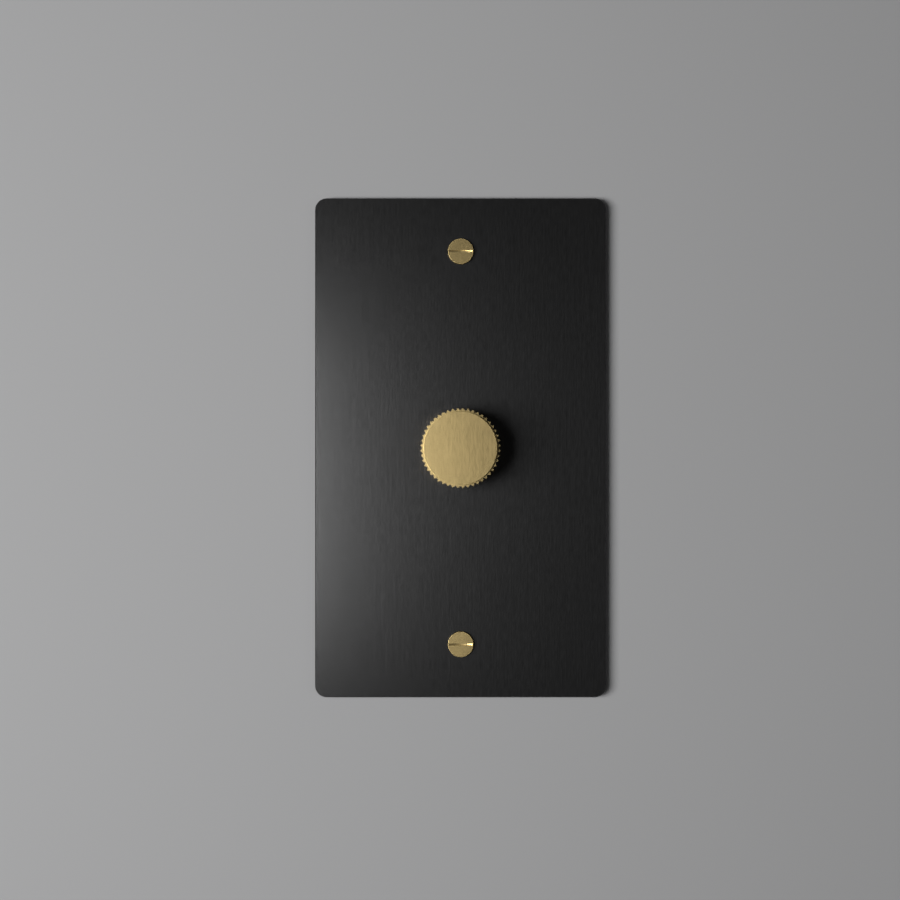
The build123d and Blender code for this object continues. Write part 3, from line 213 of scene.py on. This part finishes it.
# Bulk capacitor
CAN_COLOUR = (0.7, 0.71, 0.72)
SLEEVE_DARK = (0.012, 0.02, 0.06)
SLEEVE_LIGHT = (0.02, 0.03, 0.085)
SLEEVE_ROUGHNESS = (0.22, 0.4)
SLEEVE_END_TO_CAN_END = 0.35
SLEEVE_END_BLUR = 0.1


# Mesh helpers
def add_object(name, mesh):
    made = bpy.data.objects.new(name, mesh)
    bpy.context.scene.collection.objects.link(made)
    return made


def shade_by_angle(mesh, sharp_deg=SHARP_DEG):
    mesh.shade_smooth()
    mesh.set_sharp_from_angle(angle=math.radians(sharp_deg))


def loft(name, loops):
    """Joins loops with the same number of points into one closed skin."""
    shape = bmesh.new()
    rings = [[shape.verts.new(Vector(point) * MM) for point in loop] for loop in loops]
    count = len(rings[0])
    for ring, following in zip(rings, rings[1:]):
        for k in range(count):
            n = (k + 1) % count
            shape.faces.new((ring[k], ring[n], following[n], following[k]))
    shape.faces.new(rings[0])
    shape.faces.new(reversed(rings[-1]))
    bmesh.ops.recalc_face_normals(shape, faces=shape.faces)
    mesh = bpy.data.meshes.new(name)
    shape.to_mesh(mesh)
    shape.free()
    shade_by_angle(mesh)
    return add_object(name, mesh)


def circle_loop(radius, y, count):
    turns = [2 * math.pi * k / count for k in range(count)]
    return [(radius * math.cos(turn), y, radius * math.sin(turn)) for turn in turns]


def rounded_edge(radius, y, bend, inwards):
    """Radius and level pairs round an outer edge, from the end face to the side."""
    pairs = [(radius - bend - EDGE_HOLD, y)]
    for k in range(EDGE_STEPS + 1):
        angle = math.pi / 2 * k / EDGE_STEPS
        pairs.append((radius - bend + bend * math.sin(angle), y + inwards * bend * (1 - math.cos(angle))))
    pairs.append((radius, y + inwards * (bend + EDGE_HOLD)))
    return pairs


def disc(name, centre, axis, radius, length, count):
    """A plain closed cylinder with its middle at the centre, used as a cutting tool."""
    shape = bmesh.new()
    bmesh.ops.create_cone(
        shape, cap_ends=True, segments=count, radius1=radius * MM, radius2=radius * MM, depth=length * MM
    )
    mesh = bpy.data.meshes.new(name)
    shape.to_mesh(mesh)
    shape.free()
    made = add_object(name, mesh)
    made.rotation_mode = "QUATERNION"
    made.rotation_quaternion = Vector(axis).to_track_quat("Z", "Y")
    made.location = Vector(centre) * MM
    return made


def add_boolean(target, operation, tool):
    change = target.modifiers.new(operation.lower(), "BOOLEAN")
    change.operation = operation
    change.solver = "EXACT"
    change.object = tool


def cut(target, tool):
    """Takes the tool's shape out of the target and removes the tool."""
    add_boolean(target, "DIFFERENCE", tool)
    bpy.context.view_layer.update()
    evaluated = target.evaluated_get(bpy.context.evaluated_depsgraph_get())
    mesh = bpy.data.meshes.new_from_object(evaluated)
    target.modifiers.clear()
    uncut = target.data
    target.data = mesh
    bpy.data.meshes.remove(uncut)
    bpy.data.objects.remove(tool)


def join(name, objects):
    """Puts the objects' meshes, where they stand, into one new object."""
    bpy.context.view_layer.update()
    shape = bmesh.new()
    for made in objects:
        placed = made.data.copy()
        placed.transform(made.matrix_world)
        shape.from_mesh(placed)
        bpy.data.meshes.remove(placed)
        bpy.data.objects.remove(made)
    mesh = bpy.data.meshes.new(name)
    shape.to_mesh(mesh)
    shape.free()
    shade_by_angle(mesh)
    return add_object(name, mesh)


# Shading helpers
def start_material(name):
    made = bpy.data.materials.new(name)
    made.use_nodes = True
    tree = made.node_tree
    tree.nodes.clear()
    output = tree.nodes.new("ShaderNodeOutputMaterial")
    shader = tree.nodes.new("ShaderNodeBsdfPrincipled")
    tree.links.new(shader.outputs["BSDF"], output.inputs["Surface"])
    return made, tree, shader


def scaled_coordinates(tree, per_mm):
    place = tree.nodes.new("ShaderNodeTexCoord")
    mapping = tree.nodes.new("ShaderNodeMapping")
    mapping.inputs["Scale"].default_value = [value / MM for value in per_mm]
    tree.links.new(place.outputs["Object"], mapping.inputs["Vector"])
    return mapping.outputs["Vector"]


def place_in_mm(tree):
    """The X, Y and Z of a point of the surface, in millimetres."""
    axes = tree.nodes.new("ShaderNodeSeparateXYZ")
    tree.links.new(scaled_coordinates(tree, (1.0, 1.0, 1.0)), axes.inputs["Vector"])
    return axes.outputs


def noise(tree, per_mm, detail=NOISE_DETAIL):
    node = tree.nodes.new("ShaderNodeTexNoise")
    node.inputs["Scale"].default_value = 1.0
    node.inputs["Detail"].default_value = detail
    node.inputs["Roughness"].default_value = NOISE_ROUGHNESS
    tree.links.new(scaled_coordinates(tree, per_mm), node.inputs["Vector"])
    return node.outputs["Fac"]


def remap(tree, value, low, high, from_low=NOISE_LOW, from_high=NOISE_HIGH):
    node = tree.nodes.new("ShaderNodeMapRange")
    node.inputs["From Min"].default_value = from_low
    node.inputs["From Max"].default_value = from_high
    node.inputs["To Min"].default_value = low
    node.inputs["To Max"].default_value = high
    tree.links.new(value, node.inputs["Value"])
    return node.outputs["Result"]


def absolute(tree, value):
    node = tree.nodes.new("ShaderNodeMath")
    node.operation = "ABSOLUTE"
    tree.links.new(value, node.inputs[0])
    return node.outputs["Value"]


def mix_values(tree, share, first, second):
    """The Mix node's number sockets: 0 is the share, 2 and 3 are the two values."""
    node = tree.nodes.new("ShaderNodeMix")
    node.inputs[0].default_value = share
    tree.links.new(first, node.inputs[2])
    tree.links.new(second, node.inputs[3])
    return node.outputs[0]


def mix_colours(tree, share, first, second):
    """The Mix node's colour sockets: 0 is the share, 6 and 7 are the two colours."""
    node = tree.nodes.new("ShaderNodeMix")
    node.data_type = "RGBA"
    for index, value in ((6, first), (7, second)):
        if isinstance(value, tuple):
            node.inputs[index].default_value = (*value, 1.0)
        else:
            tree.links.new(value, node.inputs[index])
    tree.links.new(share, node.inputs[0])
    return node.outputs[2]


def bump(tree, height, distance_mm):
    node = tree.nodes.new("ShaderNodeBump")
    node.inputs["Distance"].default_value = distance_mm * MM
    tree.links.new(height, node.inputs["Height"])
    return node.outputs["Normal"]


def across_the_brushing(tree):
    """The direction along X, turned with the piece."""
    direction = tree.nodes.new("ShaderNodeCombineXYZ")
    direction.inputs["X"].default_value = 1.0
    turn = tree.nodes.new("ShaderNodeVectorTransform")
    turn.vector_type = "VECTOR"
    turn.convert_from = "OBJECT"
    turn.convert_to = "WORLD"
    tree.links.new(direction.outputs["Vector"], turn.inputs["Vector"])
    return turn.outputs["Vector"]


def scale_colour(colour, factor):
    return tuple(min(1.0, channel * factor) for channel in colour)


def grained_material(
    name, colour, metallic, roughness, grain_per_mm, colour_spread, rough_spread, patch_share,
    bump_mm=0.0, anisotropy=0.0, long_share=0.0, gloss_spread=0.0,
):
    """A surface with one fine grain, stretched where it is brushed, and slow patches over it."""
    made, tree, shader = start_material(name)
    grain = noise(tree, grain_per_mm)
    if long_share:
        across_x, across_y, along = grain_per_mm
        long_grain = noise(tree, (across_x, across_y, along / LONG_STROKE_RATIO))
        grain = mix_values(tree, long_share, grain, long_grain)
    grained = mix_colours(
        tree, remap(tree, grain, 0.0, 1.0),
        scale_colour(colour, 1 - colour_spread), scale_colour(colour, 1 + colour_spread),
    )
    patches = noise(tree, (PATCHES_PER_MM,) * 3, PATCH_DETAIL)
    patched = mix_colours(
        tree, remap(tree, patches, 0.0, patch_share), grained, scale_colour(colour, PATCH_BRIGHTNESS)
    )
    rough = remap(tree, grain, roughness - rough_spread, roughness + rough_spread)
    tree.links.new(patched, shader.inputs["Base Color"])
    tree.links.new(rough, shader.inputs["Roughness"])
    shader.inputs["Metallic"].default_value = metallic
    shader.inputs["Specular IOR Level"].default_value = SPECULAR_LEVEL
    if bump_mm:
        tree.links.new(bump(tree, grain, bump_mm), shader.inputs["Normal"])
    if gloss_spread:
        gloss = remap(tree, grain, SPECULAR_LEVEL - gloss_spread, SPECULAR_LEVEL + gloss_spread)
        tree.links.new(gloss, shader.inputs["Specular IOR Level"])
    if anisotropy:
        shader.inputs["Anisotropic"].default_value = anisotropy
        tree.links.new(across_the_brushing(tree), shader.inputs["Tangent"])
    return made


# Materials
def black_brushed_metal():
    return grained_material(
        "black_brushed_metal",
        colour=(0.0053, 0.0053, 0.0054),
        metallic=0.0,
        roughness=0.204,
        grain_per_mm=(3.0, 3.0, 0.42),
        colour_spread=0.24,
        rough_spread=0.0135,
        patch_share=0.02,
        anisotropy=0.334,
        long_share=0.4,
        gloss_spread=0.096,
    )


def brushed_brass():
    return grained_material(
        "brushed_brass",
        colour=(0.66, 0.5, 0.225),
        metallic=1.0,
        roughness=0.21,
        grain_per_mm=(5.5, 5.5, 0.8),
        colour_spread=0.055,
        rough_spread=0.018,
        patch_share=0.02,
        anisotropy=0.26,
        long_share=0.35,
    )


def turned_brass(name, roughness):
    return grained_material(
        name,
        colour=(0.7, 0.53, 0.24),
        metallic=1.0,
        roughness=roughness,
        grain_per_mm=(0.5, 6.0, 0.5),
        colour_spread=0.05,
        rough_spread=0.05,
        patch_share=0.03,
        bump_mm=0.0008,
    )


def plain_metal(name, colour, roughness, grain_per_mm=(3.0, 3.0, 3.0)):
    return grained_material(
        name,
        colour,
        metallic=1.0,
        roughness=roughness,
        grain_per_mm=grain_per_mm,
        colour_spread=0.08,
        rough_spread=0.07,
        patch_share=0.1,
        bump_mm=0.0012,
    )


def moulded_plastic(name, colour, roughness, bump_mm=0.006):
    return grained_material(
        name,
        colour,
        metallic=0.0,
        roughness=roughness,
        grain_per_mm=(5.0, 5.0, 5.0),
        colour_spread=0.07,
        rough_spread=0.07,
        patch_share=0.03,
        bump_mm=bump_mm,
    )


def circuit_board_material():
    """Solder resist over a grid of tracks, with the glass weave just showing."""
    made, tree, shader = start_material("circuit_board")
    tracks = tree.nodes.new("ShaderNodeTexBrick")
    tracks.inputs["Scale"].default_value = 1.0
    tracks.inputs["Mortar Size"].default_value = BOARD_TRACK_GAP
    tracks.inputs["Brick Width"].default_value = BOARD_TRACK_LENGTH
    tracks.inputs["Row Height"].default_value = BOARD_TRACK_PITCH
    place = tree.nodes.new("ShaderNodeSeparateXYZ")
    flat_place = tree.nodes.new("ShaderNodeCombineXYZ")
    tree.links.new(scaled_coordinates(tree, (BOARD_PATTERN_PER_MM,) * 3), place.inputs["Vector"])
    tree.links.new(place.outputs["X"], flat_place.inputs["X"])
    tree.links.new(place.outputs["Z"], flat_place.inputs["Y"])
    tree.links.new(flat_place.outputs["Vector"], tracks.inputs["Vector"])
    weave = noise(tree, (BOARD_WEAVE_PER_MM,) * 3)
    resist = mix_colours(tree, remap(tree, weave, 0.0, 1.0), BOARD_RESIST_DARK, BOARD_RESIST_LIGHT)
    painted = mix_colours(tree, tracks.outputs["Fac"], resist, BOARD_TRACK_COLOUR)
    tree.links.new(painted, shader.inputs["Base Color"])
    tree.links.new(bump(tree, tracks.outputs["Fac"], BOARD_TRACK_BUMP), shader.inputs["Normal"])
    tree.links.new(remap(tree, weave, *BOARD_ROUGHNESS), shader.inputs["Roughness"])
    return made


def band_mask(tree, coordinate, centre):
    """Is 1 on the band round the centre and 0 beside it."""
    offset = tree.nodes.new("ShaderNodeMath")
    offset.operation = "SUBTRACT"
    offset.inputs[1].default_value = centre
    tree.links.new(coordinate, offset.inputs[0])
    away = absolute(tree, offset.outputs["Value"])
    return remap(tree, away, 1.0, 0.0, BAND_HALF_WIDTH - BAND_BLUR, BAND_HALF_WIDTH + BAND_BLUR)


def banded_resistor_material():
    """Lacquered bodies with generic bands across them, and tinned leads."""
    made, tree, shader = start_material("resistor_body")
    along = place_in_mm(tree)["X"]
    speck = noise(tree, (SPECKS_PER_MM,) * 3)
    colour = mix_colours(tree, remap(tree, speck, 0.0, 1.0), RESISTOR_LACQUER_DARK, RESISTOR_LACQUER_LIGHT)
    for centre, band_colour in BANDS:
        colour = mix_colours(tree, band_mask(tree, along, centre), colour, band_colour)
    lead = remap(
        tree, absolute(tree, along), 0.0, 1.0,
        RESISTOR_BODY_END - RESISTOR_END_BLUR, RESISTOR_BODY_END + RESISTOR_END_BLUR,
    )
    tree.links.new(mix_colours(tree, lead, colour, RESISTOR_LEAD_COLOUR), shader.inputs["Base Color"])
    tree.links.new(lead, shader.inputs["Metallic"])
    tree.links.new(remap(tree, speck, *RESISTOR_ROUGHNESS), shader.inputs["Roughness"])
    tree.links.new(bump(tree, speck, SPECK_BUMP), shader.inputs["Normal"])
    return made


def sleeve_material():
    """A shrunk sleeve over the side of the can, with its aluminium end bare."""
    made, tree, shader = start_material("can_sleeve")
    sleeve_end = node_box_mm("bulk_capacitor")[1].y - SLEEVE_END_TO_CAN_END
    bare = remap(tree, place_in_mm(tree)["Y"], 0.0, 1.0, sleeve_end, sleeve_end + SLEEVE_END_BLUR)
    speck = noise(tree, (SPECKS_PER_MM,) * 3)
    sleeve = mix_colours(tree, remap(tree, speck, 0.0, 1.0), SLEEVE_DARK, SLEEVE_LIGHT)
    tree.links.new(mix_colours(tree, bare, sleeve, CAN_COLOUR), shader.inputs["Base Color"])
    tree.links.new(bare, shader.inputs["Metallic"])
    tree.links.new(remap(tree, speck, *SLEEVE_ROUGHNESS), shader.inputs["Roughness"])
    tree.links.new(bump(tree, speck, SPECK_BUMP), shader.inputs["Normal"])
    return made


def make_materials():
    """The record's material slots, and the rims of the brass pieces."""
    return {
        "black_metal": black_brushed_metal(),
        "brass": brushed_brass(),
        "brass_bright": turned_brass("turned_brass", roughness=0.27),
        "brass_rim": turned_brass("turned_brass_rim", roughness=0.45),
        "zinc_steel": plain_metal(
            "zinc_steel", (0.56, 0.57, 0.58), roughness=0.36, grain_per_mm=(2.0, 2.0, 0.5)
        ),
        "nickel": plain_metal("nickel", (0.6, 0.57, 0.52), roughness=0.26),
        "green_steel": plain_metal("green_steel", (0.05, 0.27, 0.1), roughness=0.34),
        "aluminium": plain_metal(
            "aluminium", (0.72, 0.73, 0.74), roughness=0.38, grain_per_mm=(3.0, 3.0, 0.2)
        ),
        "tinned": plain_metal("tinned", (0.66, 0.66, 0.65), roughness=0.3),
        "copper": plain_metal("copper", (0.62, 0.25, 0.11), roughness=0.28),
        "dark_plastic": moulded_plastic(
            "dark_plastic", (0.022, 0.022, 0.023), roughness=0.48, bump_mm=0.012
        ),
        "grey_plastic": moulded_plastic("grey_plastic", (0.3, 0.3, 0.31), roughness=0.45),
        "white_plastic": moulded_plastic("white_plastic", (0.72, 0.71, 0.68), roughness=0.42),
        "insulation": moulded_plastic("insulation", (0.5, 0.43, 0.28), roughness=0.7),
        "track": moulded_plastic("track", (0.09, 0.07, 0.06), roughness=0.5),
        "ferrite": moulded_plastic("ferrite", (0.05, 0.05, 0.052), roughness=0.7, bump_mm=0.02),
        "epoxy": moulded_plastic("epoxy", (0.016, 0.016, 0.017), roughness=0.5),
        "film_case": moulded_plastic("film_case", (0.55, 0.38, 0.04), roughness=0.32),
        "silicone": moulded_plastic("silicone", (0.42, 0.42, 0.45), roughness=0.65),
        "board": circuit_board_material(),
        "can_sleeve": sleeve_material(),
        "resistor_body": banded_resistor_material(),
    }


def paint_cad_nodes(materials):
    for entry in frame["record"]["subparts"]:
        node = frame["nodes"][entry["node"]]
        node.data.materials.clear()
        node.data.materials.append(materials[entry["material_slot"]])


# Knob
def tooth_radius(turn):
    """A triangular tooth wave with its tips and roots slightly rounded."""
    pitch = 2 * math.pi / TOOTH_COUNT
    last = TOOTH_ROUNDING_SAMPLES - 1
    total = 0.0
    for k in range(TOOTH_ROUNDING_SAMPLES):
        shift = TOOTH_ROUNDING * (k - last / 2) / last
        phase = (turn / pitch + shift) % 1.0
        total += 1 - abs(2 * phase - 1)
    return TOOTH_TIP_RADIUS - TOOTH_DEPTH * (1 - total / TOOTH_ROUNDING_SAMPLES)


def tooth_loop(y, inset, fall=0.0):
    """The toothed outline, set back towards the tips by the fall."""
    points = []
    for k in range(KNOB_STEPS):
        turn = 2 * math.pi * k / KNOB_STEPS
        radius = min(tooth_radius(turn), TOOTH_TIP_RADIUS - inset)
        back = fall * (radius - NOSE_RADIUS) / (TOOTH_TIP_RADIUS - NOSE_RADIUS)
        points.append((radius * math.cos(turn), y + back, radius * math.sin(turn)))
    return points


def bore_loop(y):
    """The shaft's round outline with its flat below the axis."""
    points = []
    for k in range(KNOB_STEPS):
        turn = 2 * math.pi * k / KNOB_STEPS
        down = -math.sin(turn)
        radius = min(BORE_RADIUS, BORE_FLAT / down) if down > 0 else BORE_RADIUS
        points.append((radius * math.cos(turn), y, radius * math.sin(turn)))
    return points


def knob_loops():
    """The knob's rings from the middle of its front face round to the end of its bore."""
    teeth_front = KNOB_FRONT + NOSE_HEIGHT
    teeth_back = KNOB_BACK - COLLAR_HEIGHT
    rings = [(CENTRE_RADIUS, KNOB_FRONT), (NOSE_RADIUS * KNOB_FACE_RING_SHARE, KNOB_FRONT)]
    rings += rounded_edge(NOSE_RADIUS, KNOB_FRONT, NOSE_EDGE_RADIUS, 1)
    rings.append((NOSE_RADIUS, teeth_front))
    loops = [circle_loop(radius, y, KNOB_STEPS) for radius, y in rings]
    for inset, along in TOOTH_BEVEL_STEPS:
        loops.append(tooth_loop(teeth_front + TOOTH_BEVEL * along, TOOTH_BEVEL * inset, TOOTH_FRONT_FALL))
    for inset, along in reversed(TOOTH_BEVEL_STEPS):
        loops.append(tooth_loop(teeth_back - TOOTH_BEVEL * along, TOOTH_BEVEL * inset))
    rings = [(NOSE_RADIUS, teeth_back)]
    rings += reversed(rounded_edge(NOSE_RADIUS, KNOB_BACK, NOSE_EDGE_RADIUS, -1))
    recess_floor = KNOB_BACK - RECESS_DEPTH
    rings += [(RECESS_RADIUS, KNOB_BACK), (RECESS_RADIUS, recess_floor)]
    loops += [circle_loop(radius, y, KNOB_STEPS) for radius, y in rings]
    loops += [bore_loop(recess_floor), bore_loop(KNOB_FRONT + BORE_END_TO_FRONT)]
    return loops


def make_knob():
    knob = loft("knob_detailed", knob_loops())
    grub_low, grub_high = node_box_mm("knob_grub_screw")
    hole_centre = (0.0, (grub_low.y + grub_high.y) / 2, GRUB_HOLE_MIDDLE_Z)
    hole_radius = (grub_high.x - grub_low.x) / 2 + GRUB_HOLE_CLEARANCE
    cut(knob, disc("grub_hole", hole_centre, (0, 0, 1), hole_radius, GRUB_HOLE_LENGTH, GRUB_HOLE_STEPS))
    shade_by_angle(knob.data, KNOB_SHARP_DEG)
    return knob


def paint_knob(knob, materials):
    """The front faces of the nose and the teeth are brushed, and the rest is turned."""
    knob.data.materials.clear()
    knob.data.materials.append(materials["brass"])
    knob.data.materials.append(materials["brass_rim"])
    tolerance = LEVEL_TOLERANCE * MM
    teeth_front = (KNOB_FRONT + NOSE_HEIGHT) * MM
    for polygon in knob.data.polygons:
        level = polygon.center.y
        on_nose = level < KNOB_FRONT * MM + tolerance
        on_teeth = teeth_front - tolerance < level < teeth_front + TOOTH_FRONT_FALL * MM
        brushed = polygon.normal.y < FACING_USER and (on_nose or on_teeth)
        polygon.material_index = 0 if brushed else 1


# Plate screws
def thread_loops(radius, pitch, depth, start, end):
    """Circles along Y whose radius follows a rounded thread."""
    count = round((end - start) / pitch * THREAD_RINGS_PER_PITCH)
    loops = []
    for k in range(count + 1):
        y = start + (end - start) * k / count
        fade = min(1.0, k / THREAD_RINGS_PER_PITCH, (count - k) / THREAD_RINGS_PER_PITCH)
        loop = []
        for n in range(THREAD_STEPS):
            turn = 2 * math.pi * n / THREAD_STEPS
            phase = ((y - start) / pitch + n / THREAD_STEPS) % 1.0
            crest = 0.5 + 0.5 * math.cos(2 * math.pi * phase)
            local = radius - depth * (1 - crest * fade)
            loop.append((local * math.cos(turn), y, local * math.sin(turn)))
        loops.append(loop)
    return loops


def make_screw_head(name, front, radius):
    rings = [(CENTRE_RADIUS, front), (radius * PLATE_SCREW_FACE_RING_SHARE, front)]
    rings += rounded_edge(radius, front, PLATE_SCREW_EDGE_RADIUS, 1)
    rings.append((radius, PLATE_SCREW_SEAT - UNDER_HEAD_BEVEL))
    rings.append((radius - UNDER_HEAD_BEVEL, PLATE_SCREW_SEAT))
    rings.append((SHANK_RADIUS, PLATE_SCREW_SEAT))
    rings.append((SHANK_RADIUS, PLATE_SCREW_SEAT + SEAT_TO_PLAIN_SHANK_END))
    return loft(name, [circle_loop(ring_radius, y, PLATE_SCREW_HEAD_STEPS) for ring_radius, y in rings])


def cut_slot(head, front):
    """Mills the slot with a large round cutter, so that its floor is slightly curved."""
    centre = (0.0, front + SLOT_DEPTH - SLOT_CUTTER_RADIUS, 0.0)
    cutter = disc("cutter", centre, (0, 0, 1), SLOT_CUTTER_RADIUS, SLOT_WIDTH, SLOT_CUTTER_STEPS)
    limit = disc("limit", (0.0, front, 0.0), (0, 1, 0), SLOT_LENGTH / 2, SLOT_LIMIT_HEIGHT, SLOT_LIMIT_STEPS)
    add_boolean(cutter, "INTERSECT", limit)
    cut(head, cutter)
    bpy.data.objects.remove(limit)


def make_plate_screw(name, z):
    low, high = node_box_mm("plate_screws")
    head = make_screw_head(name + "_head", low.y, high.x)
    cut_slot(head, low.y)
    thread_start = PLATE_SCREW_SEAT + SEAT_TO_THREAD_START
    turns = thread_loops(SHANK_RADIUS, THREAD_PITCH, THREAD_DEPTH, thread_start, high.y)
    thread = loft(name + "_thread", turns)
    for part in (head, thread):
        part.location.z = z * MM
    return join(name, [head, thread])


def paint_plate_screw(screw, z, materials):
    """The face and its slot are brushed, and the rim and shank are turned."""
    screw.data.materials.clear()
    screw.data.materials.append(materials["brass"])
    screw.data.materials.append(materials["brass_rim"])
    face_radius = (node_box_mm("plate_screws")[1].x - 2 * PLATE_SCREW_EDGE_RADIUS) * MM
    for polygon in screw.data.polygons:
        centre = polygon.center
        on_face = math.hypot(centre.x, centre.z - z * MM) < face_radius
        above_seat = centre.y < (PLATE_SCREW_SEAT - LEVEL_TOLERANCE) * MM
        polygon.material_index = 0 if on_face and above_seat else 1


# Return spring
def make_return_spring():
    """An open coil between the plunger's flange and the floor of the switch case."""
    low, high = node_box_mm("return_spring")
    mean_radius = high.x - SPRING_WIRE_RADIUS
    start = low.y + SPRING_WIRE_RADIUS
    rise = high.y - low.y - 2 * SPRING_WIRE_RADIUS
    slope = rise / SPRING_TURNS / (2 * math.pi * mean_radius)
    steps = SPRING_TURNS * SPRING_STEPS_PER_TURN
    loops = []
    for k in range(steps + 1):
        turn = 2 * math.pi * k / SPRING_STEPS_PER_TURN
        outwards = Vector((math.cos(turn), 0.0, math.sin(turn)))
        along = Vector((-math.sin(turn), slope, math.cos(turn))).normalized()
        across = along.cross(outwards)
        centre = outwards * mean_radius + Vector((0.0, start + rise * k / steps, 0.0))
        loop = []
        for n in range(SPRING_WIRE_STEPS):
            angle = 2 * math.pi * n / SPRING_WIRE_STEPS
            offset = outwards * math.cos(angle) + across * math.sin(angle)
            loop.append(centre + offset * SPRING_WIRE_RADIUS)
        loops.append(loop)
    return loft("return_spring_coil", loops)


def squash_spring(spring):
    """Gives the coil a mesh of its own; its length stays as made."""
    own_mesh(spring)


# Stage, lights and camera
def make_wall():
    """The wall, with the opening for the wall box that the plate covers, clear from behind."""
    half = WALL_SIZE / 2 * MM
    plate_high = node_box_mm("face_plate")[1]
    hole_x = (plate_high.x - WALL_UNDER_PLATE_RIM) * MM
    hole_z = (plate_high.z - WALL_UNDER_PLATE_RIM) * MM
    corners = []
    for x, z in ((half, half), (hole_x, hole_z)):
        corners += [(-x, 0, -z), (x, 0, -z), (x, 0, z), (-x, 0, z)]
    faces = [(k, (k + 1) % 4, (k + 1) % 4 + 4, k + 4) for k in range(4)]
    mesh = bpy.data.meshes.new("wall")
    mesh.from_pydata(corners, [], faces)
    mesh.materials.append(wall_material())
    add_object("wall", mesh)


def wall_material():
    made, tree, shader = start_material("wall_paint")
    shader.inputs["Base Color"].default_value = (*WALL_COLOUR, 1.0)
    shader.inputs["Roughness"].default_value = WALL_ROUGHNESS
    shader.inputs["Specular IOR Level"].default_value = WALL_SPECULAR
    side = tree.nodes.new("ShaderNodeNewGeometry")
    clear = tree.nodes.new("ShaderNodeBsdfTransparent")
    choose = tree.nodes.new("ShaderNodeMixShader")
    output = next(node for node in tree.nodes if node.type == "OUTPUT_MATERIAL")
    tree.links.new(side.outputs["Backfacing"], choose.inputs["Fac"])
    tree.links.new(shader.outputs["BSDF"], choose.inputs[1])
    tree.links.new(clear.outputs["BSDF"], choose.inputs[2])
    tree.links.new(choose.outputs["Shader"], output.inputs["Surface"])
    return made


def make_world():
    """A dim room in front of the wall, a brighter one behind it, and a pale backdrop for the camera."""
    world = bpy.data.worlds.new("studio")
    bpy.context.scene.world = world
    world.use_nodes = True
    tree = world.node_tree
    tree.nodes.clear()
    output = tree.nodes.new("ShaderNodeOutputWorld")
    room = tree.nodes.new("ShaderNodeBackground")
    backdrop = tree.nodes.new("ShaderNodeBackground")
    backdrop.inputs["Color"].default_value = (*BACKDROP_COLOUR, 1.0)
    direction = tree.nodes.new("ShaderNodeTexCoord")
    axes = tree.nodes.new("ShaderNodeSeparateXYZ")
    tree.links.new(direction.outputs["Generated"], axes.inputs["Vector"])
    level = remap(
        tree, axes.outputs["Y"], FRONT_ROOM_BRIGHTNESS, BACK_ROOM_BRIGHTNESS, ROOM_TURN_START, ROOM_TURN_END
    )
    tree.links.new(level, room.inputs["Strength"])
    path = tree.nodes.new("ShaderNodeLightPath")
    choose = tree.nodes.new("ShaderNodeMixShader")
    tree.links.new(path.outputs["Is Camera Ray"], choose.inputs["Fac"])
    tree.links.new(room.outputs["Background"], choose.inputs[1])
    tree.links.new(backdrop.outputs["Background"], choose.inputs[2])
    tree.links.new(choose.outputs["Shader"], output.inputs["Surface"])


def make_area_light(name, place, size, watts):
    """A rectangular lamp that faces the origin."""
    light = bpy.data.lights.new(name, "AREA")
    light.shape = "RECTANGLE"
    light.size = size[0] * MM
    light.size_y = size[1] * MM
    light.energy = watts
    made = bpy.data.objects.new(name, light)
    bpy.context.scene.collection.objects.link(made)
    made.location = Vector(place) * MM
    made.rotation_mode = "QUATERNION"
    made.rotation_quaternion = (-Vector(place)).to_track_quat("-Z", "Y")


def make_camera():
    """Looks straight at the plate, with the shift that the photograph's framing needs."""
    data = bpy.data.cameras.new("camera")
    camera = bpy.data.objects.new("camera", data)
    bpy.context.scene.collection.objects.link(camera)
    bpy.context.scene.camera = camera
    axis_x, axis_y = VIEW_AXIS_PIXEL
    plate_x, plate_y = PLATE_CENTRE_PIXEL
    camera.location = Vector((
        (axis_x - plate_x) * MM_PER_PIXEL_AT_PLATE,
        PLATE_FRONT - CAMERA_TO_PLATE,
        (plate_y - axis_y) * MM_PER_PIXEL_AT_PLATE,
    )) * MM
    camera.rotation_euler = (math.pi / 2, 0, 0)
    data.sensor_width = SENSOR_WIDTH
    data.lens = SENSOR_WIDTH * CAMERA_TO_PLATE / (IMAGE_PIXELS * MM_PER_PIXEL_AT_PLATE)
    data.shift_x = (IMAGE_PIXELS / 2 - axis_x) / IMAGE_PIXELS
    data.shift_y = (axis_y - IMAGE_PIXELS / 2) / IMAGE_PIXELS
    data.clip_start = NEAREST_SEEN * MM
    data.clip_end = FARTHEST_SEEN * MM


def make_studio():
    bpy.context.scene.view_settings.view_transform = "Standard"
    make_camera()
    make_wall()
    make_world()
    make_area_light("key_light", KEY_LIGHT_PLACE, KEY_LIGHT_SIZE, KEY_LIGHT_WATTS)
    make_area_light("fill_light", FILL_LIGHT_PLACE, FILL_LIGHT_SIZE, FILL_LIGHT_WATTS)
    make_area_light("back_light", BACK_LIGHT_PLACE, BACK_LIGHT_SIZE, BACK_LIGHT_WATTS)


def main():
    make_studio()
    materials = make_materials()
    paint_cad_nodes(materials)

    knob = make_knob()
    paint_knob(knob, materials)
    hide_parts("knob")
    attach(knob, "knob_shaft")

    for place, z in (("top", PLATE_SCREW_SPACING / 2), ("bottom", -PLATE_SCREW_SPACING / 2)):
        screw = make_plate_screw("plate_screw_" + place, z)
        paint_plate_screw(screw, z, materials)
        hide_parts("plate_screws")
        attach(screw, "base")

    spring = make_return_spring()
    spring.data.materials.append(materials["zinc_steel"])
    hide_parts("return_spring")
    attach(spring, "base")
    squash_spring(spring)


main()
